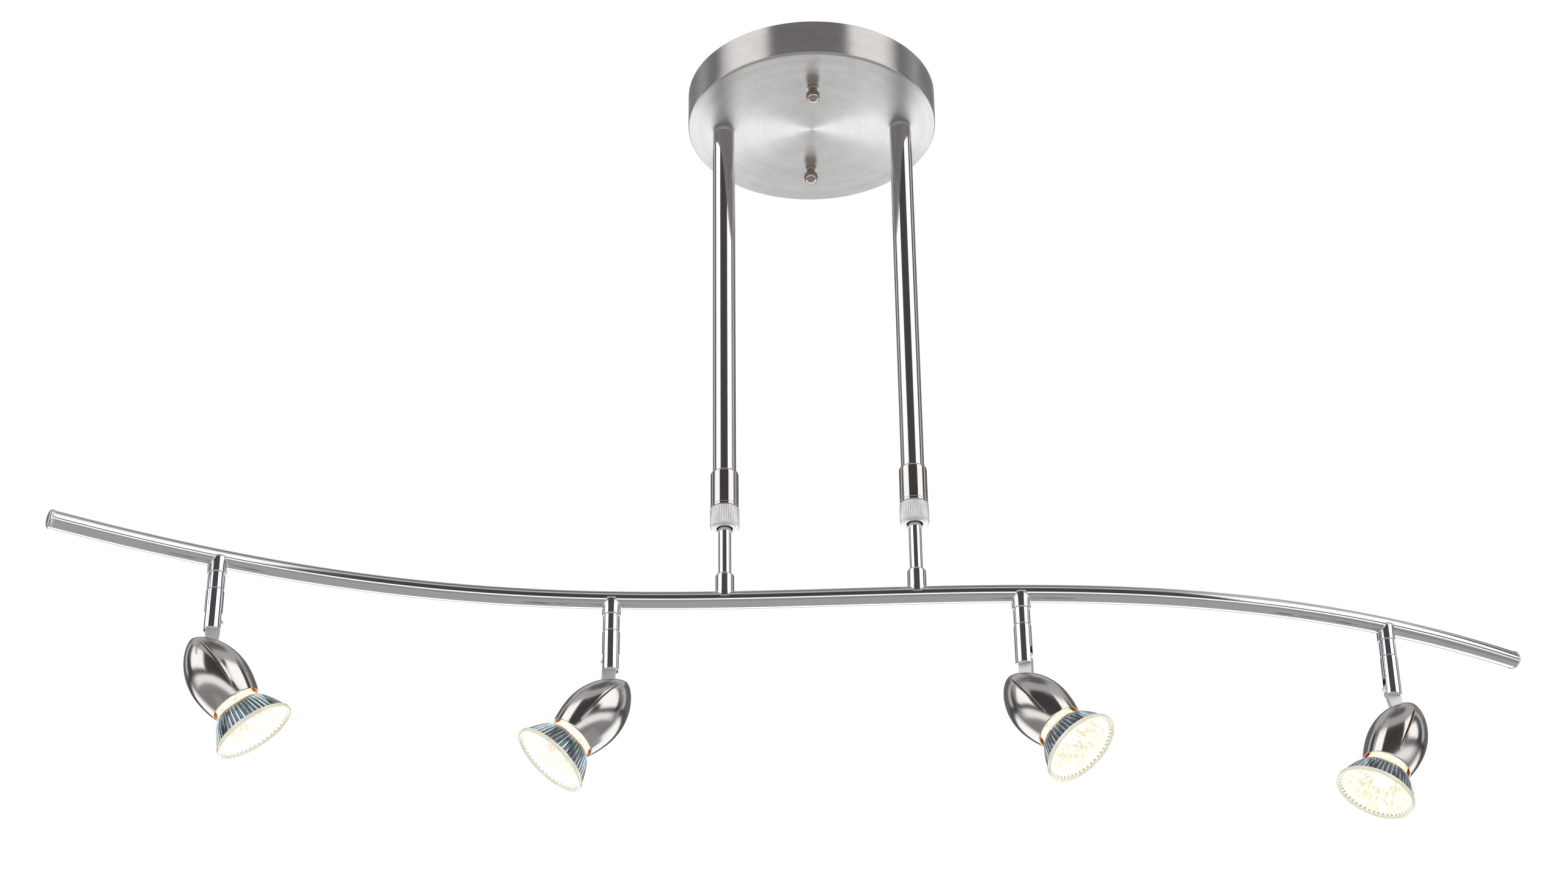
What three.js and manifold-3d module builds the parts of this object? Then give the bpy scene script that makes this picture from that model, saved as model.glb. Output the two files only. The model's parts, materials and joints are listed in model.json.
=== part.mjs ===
// Ceiling light: a round canopy, two telescoping drop rods and an S-shaped bar with four aimable spot heads.
// Millimetres, +Z up. The origin is the centre of the mounting strap's top face, which lies on the ceiling.
// +X runs along the bar; the canopy, rods, bar and heads all hang below z = 0.
import * as THREE from "three";
import { mergeVertices } from "three/addons/utils/BufferGeometryUtils.js";
import Module from "manifold-3d";

const wasm = await Module();
wasm.setup();

// ---- Clearances ----
const GAP = 0.3; // between a round piece and its bore, and between turned pieces that meet
const MERGE = 1e-4; // vertices closer than this are one

// ---- Canopy and what holds it ----
const CANOPY_D = 166;
const CANOPY_HEIGHT = 26;
const CANOPY_WALL = 1.2;
const CANOPY_CORNER = 1.8;
const CANOPY_TURN = (5.6 * Math.PI) / 180; // turn of the canopy, its strap and its studs about Z
const STRAP_LENGTH = 108;
const STRAP_WIDTH = 25;
const STRAP_THICK = 1.6;
const STRAP_CORNER = 3;
const STRAP_SLOT_LENGTH = 14;
const STRAP_SLOT_WIDTH = 5;
const STRAP_SLOT_AT = 31; // slot centre from the strap's middle
const STUD_SPACING = 91;
const STUD_D = 4;
const BALL_D = 9.6;
const BALL_DROP = 6.9; // ball centre below the canopy
const BALL_NECK_D = 6.4;
const BALL_NECK_HEIGHT = 2.2;
const BALL_BORE_DEPTH = 7.4;
const GROUND_SCREW_D = 4;
const GROUND_SCREW_AT = 13;
const GROUND_HEAD_D = 8;
const GROUND_HEAD_HEIGHT = 2.6;
const GROUND_WASHER_D = 9.6;
const GROUND_WASHER_THICK = 0.8;

// ---- Drop rods ----
const ROD_SPACING = 118;
const TUBE_D = 14.4;
const TUBE_WALL = 1.2;
const TUBE_SHOWN = 262.4; // from the ring under the canopy to the coupling sleeve
const RING_D = 15;
const RING_HEIGHT = 3.6;
const NIPPLE_D = 10;
const NIPPLE_BORE = 6;
const NIPPLE_ABOVE = 8; // thread above the canopy floor
const NIPPLE_SPIGOT = 8; // length inside the outer tube
const NIPPLE_NUT_FLATS = 14;
const NIPPLE_NUT_HEIGHT = 3.5;
const SLEEVE_D = 17.6;
const SLEEVE_LENGTH = 26;
const SLEEVE_SHOULDER = 1.6;
const SLEEVE_SOCKET = 14; // how far the outer tube goes in
const COLLET_D = 13;
const COLLET_LENGTH = 8;
const NUT_D = 18.3;
const NUT_LENGTH = 14.2;
const NUT_RIBS = 24;
const NUT_RIB_DEPTH = 0.4;
const NUT_MOUTH_D = 10.2;
const NUT_CHAMFER = 1.4;
const ROD_D = 8;
const ROD_WALL = 0.9;
const ROD_SHOWN = 32; // between the knurled nut and the boss, at rest
const ROD_SEAT = 7.5; // how far the rod goes into its boss
const ROD_STOP_HEIGHT = 3;
const SLIDE_UP = 30; // how far the rod can still rise inside the tube
const SLIDE_SPARE = 4; // room left above the rod when it is fully up
const ROD_BOSS_D = 11.6;
const ROD_BOSS_HEIGHT = 12; // above the bar
const ROD_BOSS_SHOULDER = 2;

// ---- S-shaped bar ----
const BAR_LENGTH = 876; // end to end along X on the centre line, with its caps
const BAR_SHIFT = -3; // the bar's middle, along X from the middle between the rods
const BAR_D = 11;
const BAR_WALL = 1;
const BAR_LEAN = 22.8; // sideways reach at the end that comes from the straight part of the S
const BAR_BOW = 141.1; // the same from its bow
const BAR_EASE = -21.8; // how the bow straightens out again towards the ends
const BAR_SKEW = -13.8; // sideways shift that both ends share, so the two bows differ a little
const BAR_SKEW_EASE = 9.2; // how that shift dies away again towards the ends
const CAP_D = 11.8;
const CAP_EDGE = 0.8;
const CAP_DOME = 1.2;
const CAP_PLUG = 8;
const WIRE_HOLE_D = 5;

// ---- Heads ----
const HEAD_FROM_END = 87; // outer heads, from the bar's end
const HEAD_INNER_X = 125; // inner heads, from the bar's middle
const HEAD_BOSS_D = 11.4;
const HEAD_BOSS_END = 11.4; // below the bar's centre line
const COLLAR_D = 10.2;
const COLLAR_END = 22.2;
const SWIVEL_PIN_D = 6.8;
const SWIVEL_PIN_LENGTH = 7;
const STEM_D = 10.8;
const STEM_END = 48.8;
const STEM_BORE = 4;
const STEM_EDGE = 0.5;
const PIVOT_DROP = 45.8; // tilt axis below the bar's centre line
const FORK_SLOT = 4.6;
const FORK_ROOM = 8; // slot above the tilt axis
const KNUCKLE_THICK = 4;
const KNUCKLE_WIDTH = 0.76 * STEM_D;
const KNUCKLE_REACH = 11.5; // below the tilt axis
const KNUCKLE_TOE = 2.6; // the foot's lean side, short of the tilt axis
const KNUCKLE_HEEL = 8.2; // the foot's other side, beyond the tilt axis
const KNUCKLE_HEEL_DROP = 6.2; // and how far below it
const KNUCKLE_HORN = 6.3; // how far the horn sticks out on the side that the lamp leans to
const KNUCKLE_HORN_HEIGHT = 4;
const TILT_PIN_D = 3;
const TILT_PIN_INSET = 0.3; // each end below the stem's surface
const SHELL_LENGTH = 49.7;
const SHELL_D = 36.6;
const SHELL_MOUTH_D = 30.4;
const SHELL_WIDEST_AT = 32; // from the tip
const SHELL_BLUNT = 1.42; // 2 is a round nose, 1 a pointed one
const SHELL_WALL = 1;
const SHELL_OFF_AXIS = STEM_D / 2 + 0.24 * SHELL_D; // tilt axis to the shell's own axis, clear of the stem
const SHELL_TIP_DROP = 1.2; // tip below the tilt axis when the lamp looks straight down
const RIVET_AT = 6.6; // from the tip
const RIVET_D = 3;
const RIVET_HEAD_D = 4.4;
const RIVET_HEAD_HEIGHT = 1.2;
const VENT_FROM = 13;
const VENT_TO = 43;
const VENT_WIDTH = 1.2;

// ---- Lamp: two-pin twist-lock reflector lamp of the nominal 50 mm size, and its socket ----
const LAMP_FACE_AT = 70.9; // from the shell's tip
const LAMP_D = 49.2;
const LAMP_RIM_HEIGHT = 3.4;
const LAMP_LENGTH = 46; // face to the base's end
const LAMP_BASE_D = 21;
const LAMP_BASE_LENGTH = 17;
const LAMP_NECK_D = 26.6;
const LAMP_BOWL_HEIGHT = 16;
const LAMP_WALL = 1.4;
const LENS_THICK = 1.6;
const LENS_RECESS = 2.2;
const LENS_EDGE = 1.6; // rim left round the lens
const PIN_D = 4.8;
const PIN_LENGTH = 6.5;
const PIN_SPACING = 10;
const TWIST = 15; // degrees from locked to free
const HOLDER_FROM = 14.5;
const HOLDER_GAP = 0.4; // between the socket and the lamp's base

// ---- How each head stands at rest: turn of the stem and lean of the lamp, in degrees ----
const HEADS = [
  { name: "head_1", x: BAR_SHIFT - BAR_LENGTH / 2 + HEAD_FROM_END, pan: 15.3, tilt: 35.2 },
  { name: "head_2", x: BAR_SHIFT - HEAD_INNER_X, pan: 192.2, tilt: 40.1 },
  { name: "head_3", x: BAR_SHIFT + HEAD_INNER_X, pan: -18.8, tilt: 37.8 },
  { name: "head_4", x: BAR_SHIFT + BAR_LENGTH / 2 - HEAD_FROM_END, pan: 197.5, tilt: 26.6 },
];

// ---- Levels worked out from the sizes above ----
const Z_UNDER = -CANOPY_HEIGHT;
const Z_FLOOR = Z_UNDER + CANOPY_WALL;
const Z_TUBE_TOP = Z_UNDER - RING_HEIGHT;
const Z_SLEEVE_TOP = Z_TUBE_TOP - TUBE_SHOWN;
const Z_TUBE_END = Z_SLEEVE_TOP - SLEEVE_SOCKET;
const Z_SLEEVE_END = Z_SLEEVE_TOP - SLEEVE_LENGTH;
const Z_COLLET_END = Z_SLEEVE_END - COLLET_LENGTH;
const Z_NUT_TOP = Z_SLEEVE_END - GAP;
const Z_NUT_END = Z_NUT_TOP - NUT_LENGTH;
const Z_BOSS_TOP = Z_NUT_END - ROD_SHOWN;
const Z_BAR = Z_BOSS_TOP - ROD_BOSS_HEIGHT - BAR_D / 2;
const Z_ROD_TOP = Z_TUBE_TOP - NIPPLE_SPIGOT - SLIDE_UP - SLIDE_SPARE;

// ---- Facets round a full turn ----
const ROUND_LARGE = 36;
const ROUND_SHELL = 16;
const ROUND = 16;
const ROUND_SMALL = 12;
const ROUND_HOLE = 8;
const BAR_STEPS = 36;

const RAD = Math.PI / 180;

// ---- Materials ----
function finish(color, roughness, metalness, extra = {}) {
  return () => new THREE.MeshStandardMaterial({ color, roughness, metalness, ...extra });
}
const brushedNickel = finish(0xb7b1a6, 0.35, 1);
const satinSteel = finish(0xc2bdb2, 0.28, 1);
const chrome = finish(0xd9dbde, 0.08, 1);
const zincSteel = finish(0xa9acb0, 0.4, 1);
const groundGreen = finish(0x2f7a3d, 0.45, 0.6);
const steatite = finish(0xe9e4d8, 0.7, 0);
const mirrorGlass = finish(0xaebfca, 0.15, 0.5);
const clearGlass = finish(0xfff1cf, 0.05, 0, { transparent: true, opacity: 0.6 });

// ---- Turning geometries into solids and back ----
function solidOf(geometry) {
  const loose = geometry.index ? geometry.toNonIndexed() : geometry.clone();
  loose.deleteAttribute("normal");
  loose.deleteAttribute("uv");
  const merged = mergeVertices(loose, MERGE);
  const corners = merged.index.array;
  const kept = [];
  for (let i = 0; i < corners.length; i += 3) {
    const [a, b, c] = corners.slice(i, i + 3);
    if (a !== b && b !== c && c !== a) kept.push(a, b, c);
  }
  const mesh = { numProp: 3, vertProperties: merged.attributes.position.array };
  return new wasm.Manifold(new wasm.Mesh({ ...mesh, triVerts: new Uint32Array(kept) }));
}

function geometryOf(solid) {
  const mesh = solid.getMesh();
  const geometry = new THREE.BufferGeometry();
  geometry.setAttribute("position", new THREE.BufferAttribute(mesh.vertProperties.slice(), 3));
  geometry.setIndex(new THREE.BufferAttribute(mesh.triVerts.slice(), 1));
  const flat = geometry.toNonIndexed();
  flat.computeVertexNormals();
  return flat;
}

// A body joined with some pieces, kept inside an envelope and cut by some tools.
function shaped(body, { join = [], within = null, cut = [] } = {}) {
  let solid = solidOf(body);
  for (const piece of join) solid = solid.add(solidOf(piece));
  if (within) solid = solid.intersect(solidOf(within));
  for (const tool of cut) solid = solid.subtract(solidOf(tool));
  return geometryOf(solid);
}

// ---- Basic forms, all round the Z axis ----
// A turned form from [radius, z] points, which start and end on the axis or go round a wall.
function turned(points, facets = ROUND) {
  const onAxis = points[0][0] === 0 && points.at(-1)[0] === 0;
  const outline = onAxis ? points : [...points, points[0]];
  const profile = outline.map(([radius, z]) => new THREE.Vector2(radius, z));
  if (THREE.ShapeUtils.area(profile) < 0) profile.reverse(); // walked with the solid on its left, so faces point out
  return new THREE.LatheGeometry(profile, facets).rotateX(Math.PI / 2);
}

// A straight round rod between two heights.
function rod(diameter, from, to, facets = ROUND_SMALL) {
  const radius = diameter / 2;
  return new THREE.CylinderGeometry(radius, radius, Math.abs(to - from), facets)
    .rotateX(Math.PI / 2)
    .translate(0, 0, (from + to) / 2);
}

// A tube wall between two heights.
function tube(outerD, innerD, from, to, facets = ROUND) {
  const [outer, inner] = [outerD / 2, innerD / 2];
  return turned([[inner, from], [outer, from], [outer, to], [inner, to]], facets);
}

// A hexagon prism with the given width across its flats.
function hexagon(flats, from, to) {
  return rod(flats / Math.cos(Math.PI / 6), from, to, 6);
}

function box(width, depth, height) {
  return new THREE.BoxGeometry(width, depth, height);
}

// Points along an arc in a turned form's profile, angles in degrees from the radial direction.
function arc(radius, z, size, from, to, steps) {
  const points = [];
  for (let i = 0; i <= steps; i++) {
    const angle = (from + ((to - from) * i) / steps) * RAD;
    points.push([radius + size * Math.cos(angle), z + size * Math.sin(angle)]);
  }
  return points;
}

// ---- The bar's centre line ----
function barY(x) {
  const t = x / (BAR_LENGTH / 2);
  return BAR_LEAN * t + BAR_BOW * t ** 3 + BAR_EASE * t ** 5 + BAR_SKEW * t ** 2 + BAR_SKEW_EASE * t ** 4;
}

function barHeading(x) {
  const t = x / (BAR_LENGTH / 2);
  const bow = BAR_LEAN + 3 * BAR_BOW * t ** 2 + 5 * BAR_EASE * t ** 4;
  const skew = 2 * BAR_SKEW * t + 4 * BAR_SKEW_EASE * t ** 3;
  return Math.atan((bow + skew) / (BAR_LENGTH / 2));
}

// The two drop rods stand over the bar's centre line, one each side of the middle.
function rodX(side) {
  return (side * ROD_SPACING) / 2;
}

// Where a rod comes through the canopy, in the turned canopy's own axes.
function rodInCanopy(side) {
  return new THREE.Vector3(rodX(side), barY(rodX(side)), 0).applyAxisAngle(new THREE.Vector3(0, 0, 1), -CANOPY_TURN);
}

const BAR_TUBE_REACH = BAR_LENGTH / 2 - CAP_EDGE - CAP_DOME; // from the bar's middle

class BarLine extends THREE.Curve {
  getPoint(t, target = new THREE.Vector3()) {
    const x = BAR_SHIFT + (2 * t - 1) * BAR_TUBE_REACH;
    return target.set(x, barY(x), Z_BAR);
  }
}

// A straight stand-in for the bar with its clearance, at one place along it, to saddle pieces onto the bar.
function barSaddle(x) {
  return rod(BAR_D + 2 * GAP, -4 * BAR_D, 4 * BAR_D, ROUND)
    .rotateY(Math.PI / 2)
    .rotateZ(barHeading(x));
}

// ---- Canopy group ----
function canopy() {
  const outer = CANOPY_D / 2;
  const inner = outer - CANOPY_WALL;
  const corner = arc(outer - CANOPY_CORNER, Z_UNDER + CANOPY_CORNER, CANOPY_CORNER, 0, -90, 3);
  const dish = turned(
    [[0, Z_FLOOR], [inner, Z_FLOOR], [inner, 0], [outer, 0], ...corner, [0, Z_UNDER]],
    ROUND_LARGE,
  );
  const holes = [];
  for (const side of [-1, 1]) {
    const nippleHole = rod(NIPPLE_D + 2 * GAP, Z_UNDER - 1, Z_FLOOR + 1);
    const studHole = rod(STUD_D + 2 * GAP, Z_UNDER - 1, Z_FLOOR + 1);
    const { x, y } = rodInCanopy(side);
    holes.push(nippleHole.translate(x, y, 0));
    holes.push(studHole.translate(0, (side * STUD_SPACING) / 2, 0));
  }
  return shaped(dish, { cut: holes });
}

function roundedOutline(width, length, corner) {
  const outline = new THREE.Shape();
  const [x, y] = [width / 2 - corner, length / 2 - corner];
  outline.absarc(x, y, corner, 0, Math.PI / 2);
  outline.absarc(-x, y, corner, Math.PI / 2, Math.PI);
  outline.absarc(-x, -y, corner, Math.PI, 1.5 * Math.PI);
  outline.absarc(x, -y, corner, 1.5 * Math.PI, 2 * Math.PI);
  return outline;
}

function plate(outline, thick, curveSegments = 3) {
  return new THREE.ExtrudeGeometry(outline, { depth: thick, bevelEnabled: false, curveSegments });
}

function mountingStrap() {
  const strap = plate(roundedOutline(STRAP_WIDTH, STRAP_LENGTH, STRAP_CORNER), STRAP_THICK);
  strap.translate(0, 0, -STRAP_THICK);
  const through = STRAP_THICK + 2;
  const cuts = [rod(GROUND_SCREW_D + 2 * GAP, -through, 1, ROUND_HOLE).translate(0, GROUND_SCREW_AT, 0)];
  for (const side of [-1, 1]) {
    const slot = roundedOutline(STRAP_SLOT_WIDTH, STRAP_SLOT_LENGTH, STRAP_SLOT_WIDTH / 2 - 0.01);
    cuts.push(plate(slot, through).translate(0, side * STRAP_SLOT_AT, 1 - through));
    cuts.push(rod(STUD_D + 2 * GAP, -through, 1, ROUND_HOLE).translate(0, (side * STUD_SPACING) / 2, 0));
  }
  return shaped(strap, { cut: cuts });
}

function canopyStud() {
  return rod(STUD_D, -GAP, Z_UNDER - BALL_BORE_DEPTH + GAP, ROUND_HOLE);
}

function ballCapNut() {
  const centre = Z_UNDER - BALL_DROP;
  const neck = BALL_NECK_D / 2;
  const meet = Math.asin(neck / (BALL_D / 2)) / RAD;
  const bore = STUD_D / 2 + GAP;
  return turned(
    [
      [0, Z_UNDER - BALL_BORE_DEPTH],
      [bore, Z_UNDER - BALL_BORE_DEPTH],
      [bore, Z_UNDER],
      [neck + 0.6, Z_UNDER],
      [neck + 0.6, Z_UNDER - 1],
      [neck, Z_UNDER - BALL_NECK_HEIGHT],
      ...arc(0, centre, BALL_D / 2, 90 - meet, -65, 4),
      [0, centre - BALL_D / 2],
    ],
    ROUND_SMALL,
  );
}

function groundScrew() {
  const under = -STRAP_THICK;
  const washer = rod(GROUND_WASHER_D, under, under - GROUND_WASHER_THICK);
  const head = hexagon(GROUND_HEAD_D, under - GROUND_WASHER_THICK, under - GROUND_HEAD_HEIGHT - GROUND_WASHER_THICK);
  const shank = rod(GROUND_SCREW_D, -GAP, under - GROUND_WASHER_THICK, ROUND_HOLE);
  return shaped(washer, { join: [head, shank] });
}

// ---- Drop rods ----
function rodNipple() {
  const [bore, thread, ring] = [NIPPLE_BORE / 2, NIPPLE_D / 2, RING_D / 2];
  const spigot = TUBE_D / 2 - TUBE_WALL - GAP;
  const top = Z_FLOOR + NIPPLE_ABOVE;
  return turned([
    [bore, top],
    [thread, top],
    [thread, Z_UNDER],
    [ring, Z_UNDER],
    [ring, Z_TUBE_TOP],
    [spigot, Z_TUBE_TOP],
    [spigot, Z_TUBE_TOP - NIPPLE_SPIGOT],
    [bore, Z_TUBE_TOP - NIPPLE_SPIGOT],
  ]);
}

function nippleNut() {
  const hex = hexagon(NIPPLE_NUT_FLATS, Z_FLOOR, Z_FLOOR + NIPPLE_NUT_HEIGHT);
  const bore = rod(NIPPLE_D + 2 * GAP, Z_FLOOR - 1, Z_FLOOR + NIPPLE_NUT_HEIGHT + 1, ROUND);
  return shaped(hex, { cut: [bore] });
}

function outerTube() {
  return tube(TUBE_D, TUBE_D - 2 * TUBE_WALL, Z_TUBE_TOP, Z_TUBE_END);
}

function couplingSleeve() {
  const socket = TUBE_D / 2 + GAP;
  const [outer, collet, bore] = [SLEEVE_D / 2, COLLET_D / 2, ROD_D / 2 + GAP];
  const shoulder = arc(outer - SLEEVE_SHOULDER, Z_SLEEVE_TOP - SLEEVE_SHOULDER, SLEEVE_SHOULDER, 65, 0, 3);
  return turned([
    [socket, Z_SLEEVE_TOP],
    ...shoulder,
    [outer, Z_SLEEVE_END],
    [collet, Z_SLEEVE_END],
    [collet, Z_COLLET_END],
    [bore, Z_COLLET_END],
    [bore, Z_TUBE_END - GAP],
    [socket, Z_TUBE_END - GAP],
  ]);
}

function knurledNut() {
  const outline = new THREE.Shape();
  for (let i = 0; i < 2 * NUT_RIBS; i++) {
    const angle = (i * Math.PI) / NUT_RIBS;
    const radius = NUT_D / 2 - (i % 2) * NUT_RIB_DEPTH;
    const [x, y] = [radius * Math.cos(angle), radius * Math.sin(angle)];
    if (i === 0) outline.moveTo(x, y);
    else outline.lineTo(x, y);
  }
  const ribbed = plate(outline, NUT_LENGTH).translate(0, 0, Z_NUT_END);
  const edge = NUT_D / 2 - NUT_CHAMFER;
  const turnedDown = turned([
    [0, Z_NUT_END - 0.1],
    [edge, Z_NUT_END - 0.1],
    [NUT_D / 2 + 0.1, Z_NUT_END + NUT_CHAMFER],
    [NUT_D / 2 + 0.1, Z_NUT_TOP + 1],
    [0, Z_NUT_TOP + 1],
  ]);
  const thread = rod(COLLET_D + 2 * GAP, Z_NUT_TOP + 1, Z_COLLET_END - GAP, ROUND);
  const mouth = rod(NUT_MOUTH_D, Z_NUT_TOP, Z_NUT_END - 1, ROUND);
  return shaped(ribbed, { within: turnedDown, cut: [thread, mouth] });
}

function innerRod() {
  const bore = ROD_D / 2 - ROD_WALL;
  const stop = TUBE_D / 2 - TUBE_WALL - GAP;
  const end = Z_BOSS_TOP - ROD_SEAT;
  return turned([
    [bore, Z_ROD_TOP],
    [stop, Z_ROD_TOP],
    [stop, Z_ROD_TOP - ROD_STOP_HEIGHT],
    [ROD_D / 2, Z_ROD_TOP - ROD_STOP_HEIGHT],
    [ROD_D / 2, end],
    [bore, end],
  ]);
}

function rodBoss(x) {
  const [outer, socket, wire] = [ROD_BOSS_D / 2, ROD_D / 2 + GAP, WIRE_HOLE_D / 2];
  const seat = Z_BOSS_TOP - ROD_SEAT - GAP;
  const low = Z_BAR + BAR_D / 8;
  const shoulder = arc(outer - ROD_BOSS_SHOULDER, Z_BOSS_TOP - ROD_BOSS_SHOULDER, ROD_BOSS_SHOULDER, 60, 0, 3);
  const post = turned([
    [socket, Z_BOSS_TOP],
    ...shoulder,
    [outer, low],
    [wire, low],
    [wire, seat],
    [socket, seat],
  ]);
  return shaped(post, { cut: [barSaddle(x).translate(0, 0, Z_BAR)] });
}

// ---- Bar ----
function polygon(radius, sides) {
  const turn = (i) => (2 * Math.PI * i) / sides;
  return Array.from({ length: sides }, (_, i) => new THREE.Vector2(radius * Math.cos(turn(i)), radius * Math.sin(turn(i))));
}

function waveBar() {
  const section = new THREE.Shape(polygon(BAR_D / 2, ROUND_SMALL));
  section.holes.push(new THREE.Path(polygon(BAR_D / 2 - BAR_WALL, ROUND_SMALL)));
  const pipe = new THREE.ExtrudeGeometry(section, {
    steps: BAR_STEPS,
    extrudePath: new BarLine(),
  });
  const holes = [];
  for (const side of [-1, 1]) {
    const x = rodX(side);
    holes.push(rod(WIRE_HOLE_D, Z_BAR, Z_BAR + BAR_D, ROUND_HOLE).translate(x, barY(x), 0));
  }
  for (const { x } of HEADS) holes.push(rod(WIRE_HOLE_D, Z_BAR, Z_BAR - BAR_D, ROUND_HOLE).translate(x, barY(x), 0));
  return shaped(pipe, { cut: holes });
}

// The cap's axis is Z, pointing out of the bar's end.
function endCap() {
  const [plug, outer] = [BAR_D / 2 - BAR_WALL - GAP, CAP_D / 2];
  return turned([
    [0, -CAP_PLUG],
    [plug, -CAP_PLUG],
    [plug, GAP],
    [outer, GAP],
    [outer, CAP_EDGE],
    [outer * 0.82, CAP_EDGE + CAP_DOME * 0.6],
    [outer * 0.45, CAP_EDGE + CAP_DOME * 0.92],
    [0, CAP_EDGE + CAP_DOME],
  ]);
}

// ---- Head: heights here are below the bar's centre line ----
function headBoss(x) {
  const post = tube(HEAD_BOSS_D, WIRE_HOLE_D, -HEAD_BOSS_END, -BAR_D / 8);
  return shaped(post, { cut: [barSaddle(x)] });
}

function swivelCollar() {
  return tube(COLLAR_D, SWIVEL_PIN_D + 2 * GAP, -COLLAR_END, -HEAD_BOSS_END);
}

function swivelStem() {
  const [bore, pin, outer] = [STEM_BORE / 2, SWIVEL_PIN_D / 2, STEM_D / 2];
  const top = -COLLAR_END - GAP;
  const body = turned([
    [bore, top + SWIVEL_PIN_LENGTH],
    [pin, top + SWIVEL_PIN_LENGTH],
    [pin, top],
    [outer - STEM_EDGE, top],
    [outer, top - STEM_EDGE],
    [outer, -STEM_END],
    [bore, -STEM_END],
  ]);
  const slotHeight = STEM_END - PIVOT_DROP + FORK_ROOM;
  const slot = box(2 * STEM_D, FORK_SLOT, slotHeight + 1);
  slot.translate(0, 0, -PIVOT_DROP + FORK_ROOM - (slotHeight + 1) / 2);
  const pinHole = rod(TILT_PIN_D + 2 * GAP, -STEM_D, STEM_D).rotateX(Math.PI / 2);
  return shaped(body, { cut: [slot, pinHole.translate(0, 0, -PIVOT_DROP)] });
}

// The tilt pin lies along Y through the fork and the lug, a little below the stem's surface at each end.
function tiltPin() {
  const half = STEM_D / 2 - TILT_PIN_INSET;
  return rod(TILT_PIN_D, -half, half).rotateX(Math.PI / 2);
}

// ---- Tilting part: the origin is on the tilt axis and, with no lean, the lamp looks straight down ----
// Radius of the shell's outside at a distance from its tip: a blunt-nosed ogive, then a light taper to the mouth.
function shellRadius(s) {
  const widest = SHELL_D / 2;
  if (s < SHELL_WIDEST_AT) {
    const back = 1 - Math.max(s, 0) / SHELL_WIDEST_AT;
    return widest * (1 - back ** 2) ** (1 / SHELL_BLUNT);
  }
  const on = (s - SHELL_WIDEST_AT) / (SHELL_LENGTH - SHELL_WIDEST_AT);
  return widest - (widest - SHELL_MOUTH_D / 2) * on ** 1.8;
}

const SHELL_STATIONS = [0.014, 0.05, 0.09, 0.175, 0.3, 0.46, 0.65, 0.84, 1].map((k) => k * SHELL_LENGTH);

// The shell's outline grown by a margin, as a solid that fills the shell up to its mouth.
function shellEnvelope(margin) {
  const outside = SHELL_STATIONS.map((s) => [shellRadius(s) + margin, -s]);
  return turned([[0, margin], ...outside, [0, -SHELL_LENGTH]], ROUND_SHELL);
}

function shellPlace(geometry) {
  return geometry.translate(-SHELL_OFF_AXIS, 0, -SHELL_TIP_DROP);
}

// Slope of the shell where the rivet goes through, as the angle of its normal above the radial direction.
function rivetLean() {
  const step = 0.5;
  const rise = shellRadius(RIVET_AT + step) - shellRadius(RIVET_AT - step);
  return Math.atan2(rise, 2 * step);
}

// A form made round Z, laid along the shell's normal at the rivet, with its z = 0 on the shell's outside.
function onRivet(geometry) {
  return geometry
    .rotateY(Math.PI / 2 - rivetLean())
    .translate(shellRadius(RIVET_AT), 0, -RIVET_AT);
}

function bulletShell() {
  const outside = SHELL_STATIONS.map((s) => [shellRadius(s), -s]);
  const inside = SHELL_STATIONS.filter((s) => s > SHELL_WALL * 2)
    .map((s) => [shellRadius(s) - SHELL_WALL * (s < SHELL_WIDEST_AT / 3 ? 1.35 : 1), -s])
    .reverse();
  const wall = turned([[0, 0], ...outside, ...inside, [0, -2 * SHELL_WALL]], ROUND_SHELL);
  const middle = -(VENT_FROM + VENT_TO) / 2;
  const vent = new THREE.Shape();
  vent.moveTo(0, -VENT_FROM);
  vent.quadraticCurveTo(VENT_WIDTH, middle, 0, -VENT_TO);
  vent.quadraticCurveTo(-VENT_WIDTH, middle, 0, -VENT_FROM);
  const ventCut = plate(vent, 2 * SHELL_D, 3).rotateX(Math.PI / 2);
  ventCut.translate(0, SHELL_D, 0);
  const rivetHole = onRivet(rod(RIVET_D + 2 * GAP, -3 * SHELL_WALL, 3 * SHELL_WALL, ROUND_HOLE));
  return shaped(wall, { cut: [ventCut, rivetHole] });
}

function knuckle() {
  const half = KNUCKLE_WIDTH / 2;
  const outline = new THREE.Shape();
  outline.moveTo(-KNUCKLE_TOE, -KNUCKLE_REACH);
  outline.lineTo(half * 0.7, -KNUCKLE_HORN_HEIGHT * 1.1);
  outline.lineTo(half, -KNUCKLE_HORN_HEIGHT * 0.6);
  outline.lineTo(KNUCKLE_HORN, -KNUCKLE_HORN_HEIGHT * 0.6);
  outline.lineTo(KNUCKLE_HORN, KNUCKLE_HORN_HEIGHT * 0.4);
  outline.lineTo(half, KNUCKLE_HORN_HEIGHT * 0.4);
  outline.absarc(0, 0, half, 23 * RAD, Math.PI);
  outline.lineTo(-KNUCKLE_HEEL, -KNUCKLE_HEEL_DROP);
  const lug = plate(outline, KNUCKLE_THICK).rotateX(Math.PI / 2);
  lug.translate(0, KNUCKLE_THICK / 2, 0);
  const rivet = shellPlace(onRivet(rod(RIVET_D, -SHELL_WALL - GAP - RIVET_HEAD_HEIGHT, 2, ROUND_HOLE)));
  const headTop = -SHELL_WALL - 3 * GAP;
  const rivetHead = rod(RIVET_HEAD_D, headTop - RIVET_HEAD_HEIGHT, headTop, ROUND_HOLE);
  const bore = rod(TILT_PIN_D + 2 * GAP, -STEM_D, STEM_D).rotateX(Math.PI / 2);
  const body = shaped(lug, { cut: [shellPlace(shellEnvelope(GAP)), bore] });
  return shaped(body, { join: [rivet, shellPlace(onRivet(rivetHead))] });
}

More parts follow.
